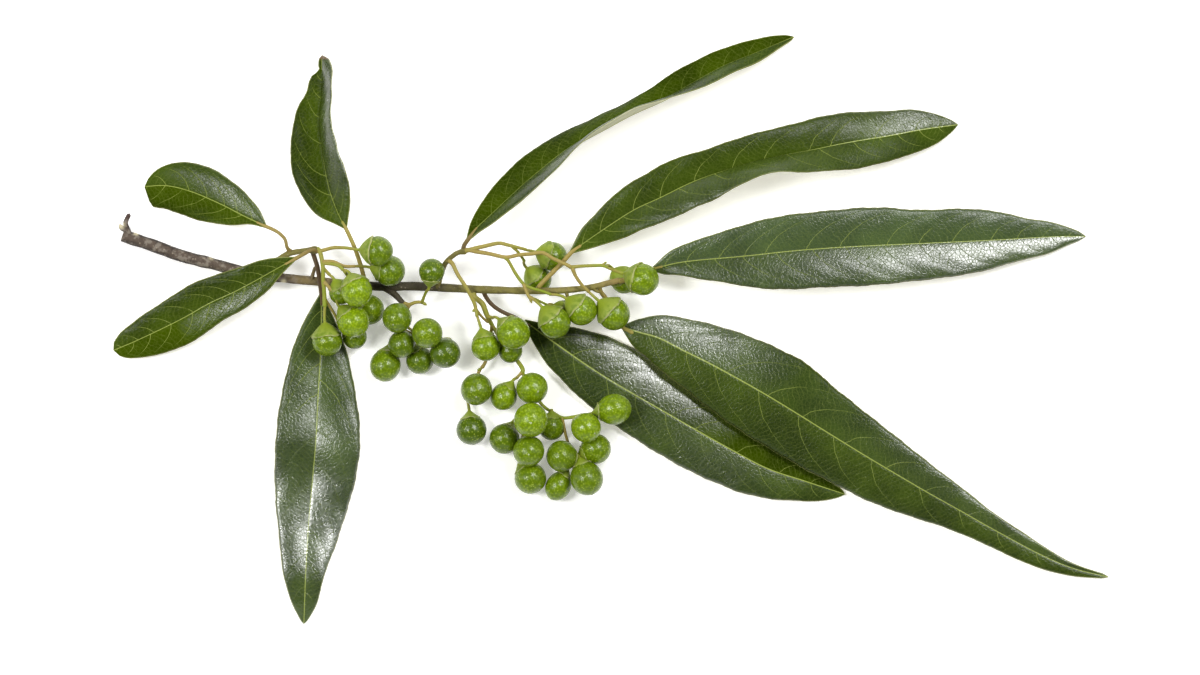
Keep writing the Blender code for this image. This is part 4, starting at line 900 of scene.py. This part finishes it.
def berry_finish(settings):
    """Satin skin: lime to green by berry, partly its own tint and partly painted light and shade, a fine
    net of pale oil glands and a tiny dot at the apex.
    """
    finish = Finish("berry_skin", settings.shade)
    axial, tint_and_painted_light, _ = finish.layer("fruit")
    glands = finish.cells(0.42)
    # Each berry's brightness: part its own tint, part painted light and shade
    finish.over((finish.noise(1.6) * 0.35 + tint_and_painted_light * 0.8).step(0.05, 1.05), settings.light)
    finish.over(glands.step(0.35, 0.75) * 0.45, settings.shade)
    speck = glands.step(0.36, 0.14) * finish.noise(1.0).step(0.30, 0.56)
    finish.over(speck * 0.5, settings.speck)
    finish.over(axial.step(-0.9975, -0.9990) * 0.55, BERRY_APEX)
    finish.bump(glands.step(0.75, 0.1) * 0.8 + finish.noise(0.5), 0.028)
    return finish.finished(Roughness=settings.roughness, Specular_IOR_Level=0.38, Subsurface_Weight=0.12,
                           Subsurface_Radius=(0.9 * MM, 1.2 * MM, 0.25 * MM), Subsurface_Scale=1.0)


def stalk_finish(name, settings):
    """Fibrous stalk from tan to green, with small brown scars and a pale rim on each cup."""
    finish = Finish(name, settings.stalk)
    fresh, rim, _ = finish.layer("stalk")
    wander = finish.noise(1.2, 3) - 0.5
    finish.over((wander * 0.5 + fresh).step(0.1, 0.9), settings.fresh_stalk)
    finish.over(fresh.step(0.0, -0.5), STALK_DARK)
    finish.over(finish.noise(0.5).step(0.62, 0.74) * (fresh * -0.45 + 0.6), STALK_SCAR)
    cup = fresh.step(1.0, 1.3)
    finish.over(cup * 0.5, CUP_PALE)
    finish.over(cup * finish.noise(1.0, 3).step(0.42, 0.62), CUP_BLOTCH)
    finish.over(finish.cells(0.55).step(0.30, 0.10) * (cup * 0.4), CUP_FLECK)
    finish.over(rim * finish.noise(0.5).step(0.35, 0.60), CUP_RIM)
    finish.bump(finish.noise(0.3, 3), 0.04)
    return finish.finished(Roughness=0.5, Specular_IOR_Level=0.3)


def bark_finish(settings):
    """Bark from grey-brown with pale pores to smooth olive-tan, ridged along the twig, with painted shade
    on the flanks of the old bark.
    """
    finish = Finish("bark", settings.old_bark)
    youth, scar, upness = finish.layer("bark")
    ridge = finish.noise(1.0, 4)
    wander = finish.noise(0.9, 3) - 0.5
    for low, high, colour in ((0.19, 0.27, BARK_TAN), (0.33, 0.42, settings.middle_bark),
                              (0.55, 0.66, settings.young_bark), (0.68, 0.80, BARK_OLIVE),
                              (0.92, 1.0, BARK_STRAW)):
        finish.over(youth.step(low, high), colour)
    finish.over(ridge.step(0.45, 0.65) * (youth * -0.25 + 0.5), BARK_FURROW)
    old = youth.step(0.35, 0.1)
    # Painted shade: the old bark darkens towards its sides and underside, away from the light above
    finish.over((upness + wander).step(0.97, 0.50) * old * 0.9, PAINTED_FLANK_SHADE)
    grey = finish.noise(1.2, 3).step(0.46, 0.60) * (upness.step(0.3, 0.9) * old)
    finish.over(grey * 0.65, BARK_GREY)
    finish.over(finish.cells(0.9).step(0.22, 0.10) * (youth * -0.35 + 0.55), BARK_PORE)
    finish.over(scar.step(0, 1), SCAR_PALE)
    finish.over(scar.step(0, -1), SCAR_DARK)
    finish.bump(ridge + finish.noise(0.35, 3) * 0.6, 0.3)
    return finish.finished(Roughness=0.75)


# Shapes


def margin_offsets(stations, t):
    """Smooth distance out and height up of a margin, by cubics through its stations."""
    at, out, up = np.array([MARGIN_START, *stations], float).T
    k = np.clip(np.searchsorted(at, t, side="right") - 1, 0, len(at) - 2)
    length = at[k + 1] - at[k]
    s = (t - at[k]) / length
    offsets = []
    for value in (out, up):
        slope = np.gradient(value, at)
        start = value[k] * (2 * s**3 - 3 * s**2 + 1) + value[k + 1] * (3 * s**2 - 2 * s**3)
        bend = slope[k] * (s**3 - 2 * s**2 + s) + slope[k + 1] * (s**3 - s**2)
        offsets.append(start + bend * length)
    return offsets


def vein_phase(roots, leaves_at, length):
    """The number of the side vein that leaves the midrib at a place, and the room between two.

    Before the first and after the last root both run on evenly.
    """
    roots = np.array(roots) * length
    before, after = 2 * roots[0] - roots[1], 2 * roots[-1] - roots[-2]
    roots = np.array([before - length, before, *roots, after, after + length])
    numbers = np.arange(len(roots)) - 1.0
    numbers[0] -= length / (roots[2] - roots[1])
    numbers[-1] = numbers[-2] + length / (roots[-2] - roots[-3])
    spacing = np.interp(leaves_at, roots, np.gradient(roots, numbers))
    return np.interp(leaves_at, roots, numbers), spacing


def add_blade(shell, spec, settings, seed):
    """The blade, a closed tube of flat rings from base to tip.

    At station t and share w of the half blade, which is W wide, a point is midrib(t) + margin(t) w,
    lifted along the normal by the arch 0.035 W sin(pi w), by a bulge (1 - cos 2 pi phase) / 2
    between side veins, and by a ripple that grows with w^4. The two faces lie half a thickness away,
    and meet at the edge. A side vein that leaves the midrib at s0 passes
    s0 + W (0.45 w + 0.8 w^2 + 0.55 w^4), so it leaves steeply and arches to the tip near the margin.
    """
    length = path_length(smooth_rows(spec["midrib"], 200))[-1]
    midrib = smooth_rows(spec["midrib"], int(length / BLADE_STEP))
    t = np.linspace(0, 1, len(midrib))[:, None]
    tangent = unit(np.gradient(midrib, axis=0))
    side = unit(np.cross((0, 0, 1), tangent))
    rounding = np.sqrt(np.clip((1 - t) / 0.012, 0.02, 1))
    half = np.linspace(0, 1, BLADE_COLUMNS)
    half = half * (0.45 + 0.55 * half)
    crown = np.sin(math.pi * half)
    thick = settings.thickness / MM / 2 * np.sqrt(np.clip(1 - half**8, 0, 1))
    faces = []
    for k, way in enumerate((1, -1)):
        out, up = margin_offsets(spec["margins"][k], t)
        jag = 1 + 0.008 * np.sin(t * length * 1.1 + seed) + 0.005 * np.sin(t * length * 3.3)
        margin = way * side * (out * rounding * jag) + up * rounding * (0, 0, 1)
        normal = way * unit(np.cross(tangent, margin))[:, None]
        width = np.linalg.norm(margin, axis=1)[:, None]
        leaves_at = t * length - width * (0.45 * half + 0.8 * half**2 + 0.55 * half**4)
        phase, spacing = vein_phase(spec["veins"][k], leaves_at, length)
        bulge = settings.quilting / MM * (0.5 - 0.5 * np.cos(2 * math.pi * phase))
        bulge = bulge * crown**0.7 * np.minimum(width / 4, 1)
        ripple = settings.ripple / MM * waves(t * length, 0, seed + 1 - k, 0.5) * 3
        ripple = ripple * half**4 * rounding * np.minimum(1, 6 * t)
        lift = BLADE_ARCH * width * crown + bulge + ripple
        middle = midrib[:, None] + margin[:, None] * half[:, None] + normal * lift[..., None]
        keel = MIDRIB_KEEL * np.exp(-(width * half / 0.5) ** 2) * (1 - t)
        raised = VEIN_RELIEF * np.exp(-(np.abs(phase - np.round(phase)) * spacing / 0.35) ** 2) * crown
        groove = MIDRIB_GROOVE * np.exp(-(width * half / 0.25) ** 2) * (1 - 0.7 * t)
        above = middle + normal * (thick - groove)[..., None]
        below = middle - normal * (thick + keel + raised)[..., None]
        above_floor(below, BLADE_HEIGHTS[0])
        above_floor(above, BLADE_HEIGHTS[1])
        travel = 0.8 * t * length + 0.55 * width * half
        gloss = np.interp(t, GLOSS_STATIONS, spec["gloss"][k])
        values = np.stack(np.broadcast_arrays(phase, spacing, travel, t, way * width * half,
                                              width * (1 - half), gloss, spec["bloom_and_sheen"][k]), -1)
        faces.append([np.concatenate([points, values], -1) for points in (above, below)])
    (left_top, left_low), (right_top, right_low) = faces
    last = BLADE_COLUMNS - 1
    ring = np.concatenate([left_top[:, ::-1], right_top[:, 1:], right_low[:, last - 1::-1],
                           left_low[:, 1:last]], 1)
    parts = np.moveaxis(ring, -1, 0)
    shell.tube(ring[..., :3], slot=np.where(np.arange(4 * last) < 2 * last, 0, 1), outward=False,
               veins=parts[3:6], blade=parts[6:9], wax=(*parts[9:], 0), stalk=(0, 0, 0))


def add_stalk(shell, rows, sides, fresh, seed, **values):
    """A stalk whose radius wavers by a few percent and swells at both ends, rounded off at the tip."""
    smooth, along = stepped_path(rows, STALK_STEP, 8)
    share = along / along[-1]
    angle = turn(sides)
    bump = 0.06 * waves(along * 1.6, np.cos(angle) * 1.4, seed, 1.0)
    swell = 1 + 0.22 * np.exp(-((1 - share) * along[-1] / 0.5) ** 2) + 0.15 * np.exp(-(along / 0.6) ** 2)
    close = np.sqrt(np.clip((along[-1] - along) / 0.22, 0.04, 1))
    rings = round_rings(smooth[:, :3], smooth[:, 3:] * swell * close * (1 + bump), angle)
    green = np.clip(fresh + 0.25 * (share - 0.5), -0.5, 1)
    shell.tube(rings, stalk=(green, 0, 0), **values)


def berry_form(row):
    """A berry's centre, radius, length over width, and the unit vector towards its stalk."""
    radius, stretch, compass, rise = row[3:7]
    a, e = math.radians(compass), math.radians(rise)
    axis = np.array((math.cos(e) * math.cos(a), math.cos(e) * math.sin(a), math.sin(e)))
    return np.array(row[:3]), radius, stretch, axis


def add_berry(shell, row, seed):
    """A berry turned about its axis: at angle v from the stalk its radius is R sin v, along R cos v.

    Slight waves of the radius keep it from being a perfect ball, and a tiny point marks its apex.
    """
    centre, radius, stretch, axis = berry_form(row)
    side = unit(np.cross(axis, (0.31, 0.17, 0.93)))
    up = np.cross(side, axis)
    v = np.concatenate([np.linspace(0.25, 2.9, BERRY_RINGS), [2.99, 3.05, 3.10, 3.135]])[:, None]
    angle = turn(BERRY_SIDES)
    waver = 1 + 0.018 * waves(3 * v, 2 * np.cos(angle), seed, 0.8)
    waver = waver + 0.01 * np.cos(2 * angle + seed) * np.sin(v)
    nib = np.exp(-((math.pi - v) / 0.07) ** 2) * 0.025
    along = np.cos(v) * radius * stretch * waver - nib * radius
    out = np.sin(v) * radius * waver
    rings = (centre + axis * along[..., None]
             + (side * np.cos(angle)[:, None] + up * np.sin(angle)[:, None]) * out[..., None])
    above_floor(rings)
    shell.tube(rings, outward=False, fruit=(np.cos(v), row[9], 0))


def add_cup(shell, row, seed):
    """The berry's own stalk, which bends into the cup and flares to an uneven thin rim.

    The path is the bend root (1-s)^2 + handle 2 s (1-s) + end s^2 and then straight along the
    berry's axis. With q from 0 at the stalk to 1 at the rim, the flare lies cos(q V) + 0.3 (1-q)^2
    along and sin(q V) (1 + 0.11 q) + 0.1 (1-q) out, in berry radii, V the cup's reach. It turns
    in at the rim, whose place varies by sines of the angle.
    """
    centre, radius, stretch, axis = berry_form(row)
    root = np.array(row[7])
    end = centre + axis * radius * stretch * 1.30
    handle = end + axis * 0.45 * np.linalg.norm(end - root)
    share = np.linspace(0, 1, 9)[:-1, None]
    bend = root * (1 - share) ** 2 + handle * 2 * share * (1 - share) + end * share**2
    q = np.linspace(0, 1, 11)
    v = math.radians(row[8])
    along = np.cos(q * v) + 0.30 * (1 - q) ** 2
    out = np.sin(q * v) * (1 + CUP_FLARE * q) + 0.10 * (1 - q)
    along = np.append(along, (math.cos(v) - 0.035, math.cos(v) - 0.02))
    out = np.append(out, (out[-1] - 0.02, 0.96 * math.sin(v)))
    path = np.vstack([bend, centre + axis * (along * radius * stretch)[:, None]])
    size = np.concatenate([np.linspace(0.25, 0.27, len(bend)), np.maximum(out * radius, 0.28)])
    angle = turn(CUP_SIDES)
    first, second = np.random.default_rng(seed).uniform(0, 6, 2)
    uneven = 0.055 * np.sin(3 * angle + first) + 0.03 * np.sin(7 * angle + second)
    wavy = 0.04 * waves(np.arange(len(path))[:, None] * 0.8, np.cos(angle) * 1.5, seed, 1.0)
    rings = round_rings(path, size[:, None] * (1 + wavy), angle)
    lip, rim = np.zeros((2, len(path), 1))
    lip[-4:, 0] = 0.4, 1, 1, 0.4
    rim[-4:, 0] = 0.0, 0.7, 0.9, 0.3
    rings += axis * (lip * uneven * radius)[..., None]
    above_floor(rings)
    green = np.concatenate([np.linspace(CUP_GREEN * 0.6, CUP_GREEN, len(bend)),
                            CUP_GREEN + (1.3 - CUP_GREEN) * q**0.5, (1, 1)])
    shell.tube(rings, stalk=(green[:, None], rim, 0))


def add_bark(shell, rows, sides, seed, step, youngest):
    """Bark round a path: the path's radius times 1 + 0.07 broad waves + 0.04 fine waves.

    It is rounded off at the end, younger towards the thin end of the twig, and carries the spots.
    """
    smooth, along = stepped_path(rows, step, 10)
    angle = turn(sides)
    bump = (0.07 * waves(along * 0.7, 2.5 * np.cos(angle), seed, 1.0)
            + 0.04 * waves(along * 3.0, 4 * np.sin(angle), seed + 1, 1.0))
    close = np.sqrt(np.clip((along[-1] - along) / 0.35, 0.04, 1))
    rings = round_rings(smooth[:, :3], smooth[:, 3:] * close * (1 + bump), angle)
    above_floor(rings)
    youth = np.maximum(np.clip((rings[..., 0] - OLD_BARK_END) / YOUTH_LENGTH, 0, 1), youngest)
    scar = np.zeros(rings.shape[:2])
    for x, y, reach, paleness in BARK_SCARS:
        away = np.hypot(rings[..., 0] - x, rings[..., 1] - y)
        scar += paleness * np.clip(1.4 - away / reach, 0, 1)
    shell.tube(rings, bark=(youth, scar, np.sin(angle)))


# Operators


class SPRIG_OT_stem(bpy.types.Operator):
    """Wraps the twig, its side shoots, bud stub and scars in bark"""
    bl_idname = "sprig.stem"
    bl_label = "Woody stem"

    def execute(self, context):
        shell = Shell("bark")
        add_bark(shell, TWIG_AXIS, TWIG_SIDES, 3, TWIG_STEP, 0.0)
        for seed, (name, rows) in enumerate(TWIG_BRANCHES.items(), 20):
            youngest = SHOOT_YOUTH if name in YOUNG_WOOD else 0.0
            add_bark(shell, rows, SHOOT_SIDES, seed, SHOOT_STEP, youngest)
        shell.piece("twig_bark", "woody_stem", "bark", [bark_finish(context.scene.sprig_stem)])
        return {"FINISHED"}


class SPRIG_OT_leaves(bpy.types.Operator):
    """Builds the nine leaves with their veins, margins and petioles"""
    bl_idname = "sprig.leaves"
    bl_label = "Leaves"

    def execute(self, context):
        settings = context.scene.sprig_leaf
        below = underside_finish(settings)
        petiole = stalk_finish("petiole", context.scene.sprig_stem)
        for seed, (name, spec) in enumerate(LEAVES.items()):
            shell = Shell("veins", "blade", "wax", "stalk")
            add_blade(shell, spec, settings, seed * 7)
            add_stalk(shell, spec["petiole"], PETIOLE_SIDES, spec["green"], seed,
                      slot=2, veins=(0, 1, 0), blade=(0, 0, 0), wax=(0, 0, 0))
            above = leaf_finish(name + "_surface", settings, spec)
            shell.piece(name + "_blade", name, "leaf", [above, below, petiole])
        return {"FINISHED"}


class SPRIG_OT_sprays(bpy.types.Operator):
    """Builds the stalks, cups and berries of the four sprays"""
    bl_idname = "sprig.sprays"
    bl_label = "Berry sprays"

    def execute(self, context):
        skin = berry_finish(context.scene.sprig_berry)
        stem = stalk_finish("spray_stalk", context.scene.sprig_stem)
        for name, spec in SPRAYS.items():
            fruit, wood = Shell("fruit"), Shell("stalk")
            for seed, rows in enumerate(spec["stalks"]):
                add_stalk(wood, rows, STALK_SIDES, 0.35 + 0.3 * math.sin(seed * 2.3), seed)
            for seed, row in enumerate(spec["berries"]):
                add_berry(fruit, row, seed)
                add_cup(wood, row, seed)
            fruit.piece(name + "_berries", name, "berry_and_stalk", [skin])
            wood.piece(name + "_stalks", name, "berry_and_stalk", [stem])
        return {"FINISHED"}


class SPRIG_OT_stage(bpy.types.Operator):
    """Sets up the pale floor, the softboxes and the camera that looks straight down"""
    bl_idname = "sprig.stage"
    bl_label = "Stage"

    def execute(self, context):
        scene = context.scene
        settings = scene.sprig_stage
        scene.view_settings.view_transform = "Standard"
        mesh = bpy.data.meshes.new("floor")
        corners = np.array(((-1, -1, 0), (1, -1, 0), (1, 1, 0), (-1, 1, 0)))
        mesh.from_pydata(corners * FLOOR_REACH, [], [(0, 1, 2, 3)])
        floor = bpy.data.objects.new("floor", mesh)
        scene.collection.objects.link(floor)
        finish = Finish("floor", settings.floor)
        finish.over(finish.noise(60.0), [0.985 * c for c in settings.floor])
        mesh.materials.append(finish.finished(
            Roughness=0.95, Specular_IOR_Level=0.0,
            Emission_Color=FLOOR_LIGHT, Emission_Strength=settings.glow))
        for name, place, size, share in SOFTBOXES:
            lamp = bpy.data.lights.new(name, "AREA")
            lamp.shape = "RECTANGLE"
            lamp.size, lamp.size_y = size
            lamp.energy = settings.power * share
            box = bpy.data.objects.new(name, lamp)
            box.location = place
            box.rotation_euler = (-box.location).to_track_quat("-Z", "Y").to_euler()
            scene.collection.objects.link(box)
        world = bpy.data.worlds.new("studio")
        world.use_nodes = True
        background = world.node_tree.nodes["Background"]
        background.inputs["Color"].default_value = (1, 1, 1, 1)
        background.inputs["Strength"].default_value = ROOM_LIGHT
        scene.world = world
        data = bpy.data.cameras.new("camera")
        data.sensor_width = 36
        data.lens = settings.lens
        data.clip_end = 20
        camera = bpy.data.objects.new("camera", data)
        width = PHOTO_WIDTH * PIXEL * MM
        camera.location = (*VIEW_CENTRE, settings.lens / data.sensor_width * width)
        scene.collection.objects.link(camera)
        scene.camera = camera
        return {"FINISHED"}


class SPRIG_PT_panel(bpy.types.Panel):
    """Lists the sprig's operators and settings"""
    bl_label = "May Chang Sprig"
    bl_idname = "SPRIG_PT_panel"
    bl_space_type = "VIEW_3D"
    bl_region_type = "UI"
    bl_category = "Sprig"

    def draw(self, context):
        for operator in OPERATORS:
            self.layout.operator(operator.bl_idname)
        for group in SETTINGS:
            box = self.layout.box()
            settings = getattr(context.scene, group)
            for name in settings.bl_rna.properties.keys():
                if name not in {"rna_type", "name"}:
                    box.prop(settings, name)


OPERATORS = (SPRIG_OT_stem, SPRIG_OT_leaves, SPRIG_OT_sprays, SPRIG_OT_stage)
SETTINGS = {
    "sprig_leaf": SprigLeafSettings,
    "sprig_berry": SprigBerrySettings,
    "sprig_stem": SprigStemSettings,
    "sprig_stage": SprigStageSettings,
}


def register():
    """Registers the classes and hangs the settings on the scene."""
    for group in (*SETTINGS.values(), *OPERATORS, SPRIG_PT_panel):
        bpy.utils.register_class(group)
    for name, group in SETTINGS.items():
        setattr(bpy.types.Scene, name, bpy.props.PointerProperty(type=group))


def unregister():
    """Takes the settings off the scene and unregisters the classes."""
    for name in SETTINGS:
        delattr(bpy.types.Scene, name)
    for group in (SPRIG_PT_panel, *OPERATORS[::-1], *SETTINGS.values()):
        bpy.utils.unregister_class(group)


def main():
    """Builds every piece and the stage."""
    register()
    for call in (bpy.ops.sprig.stem, bpy.ops.sprig.leaves, bpy.ops.sprig.sprays, bpy.ops.sprig.stage):
        call()


if __name__ == "__main__":
    main()
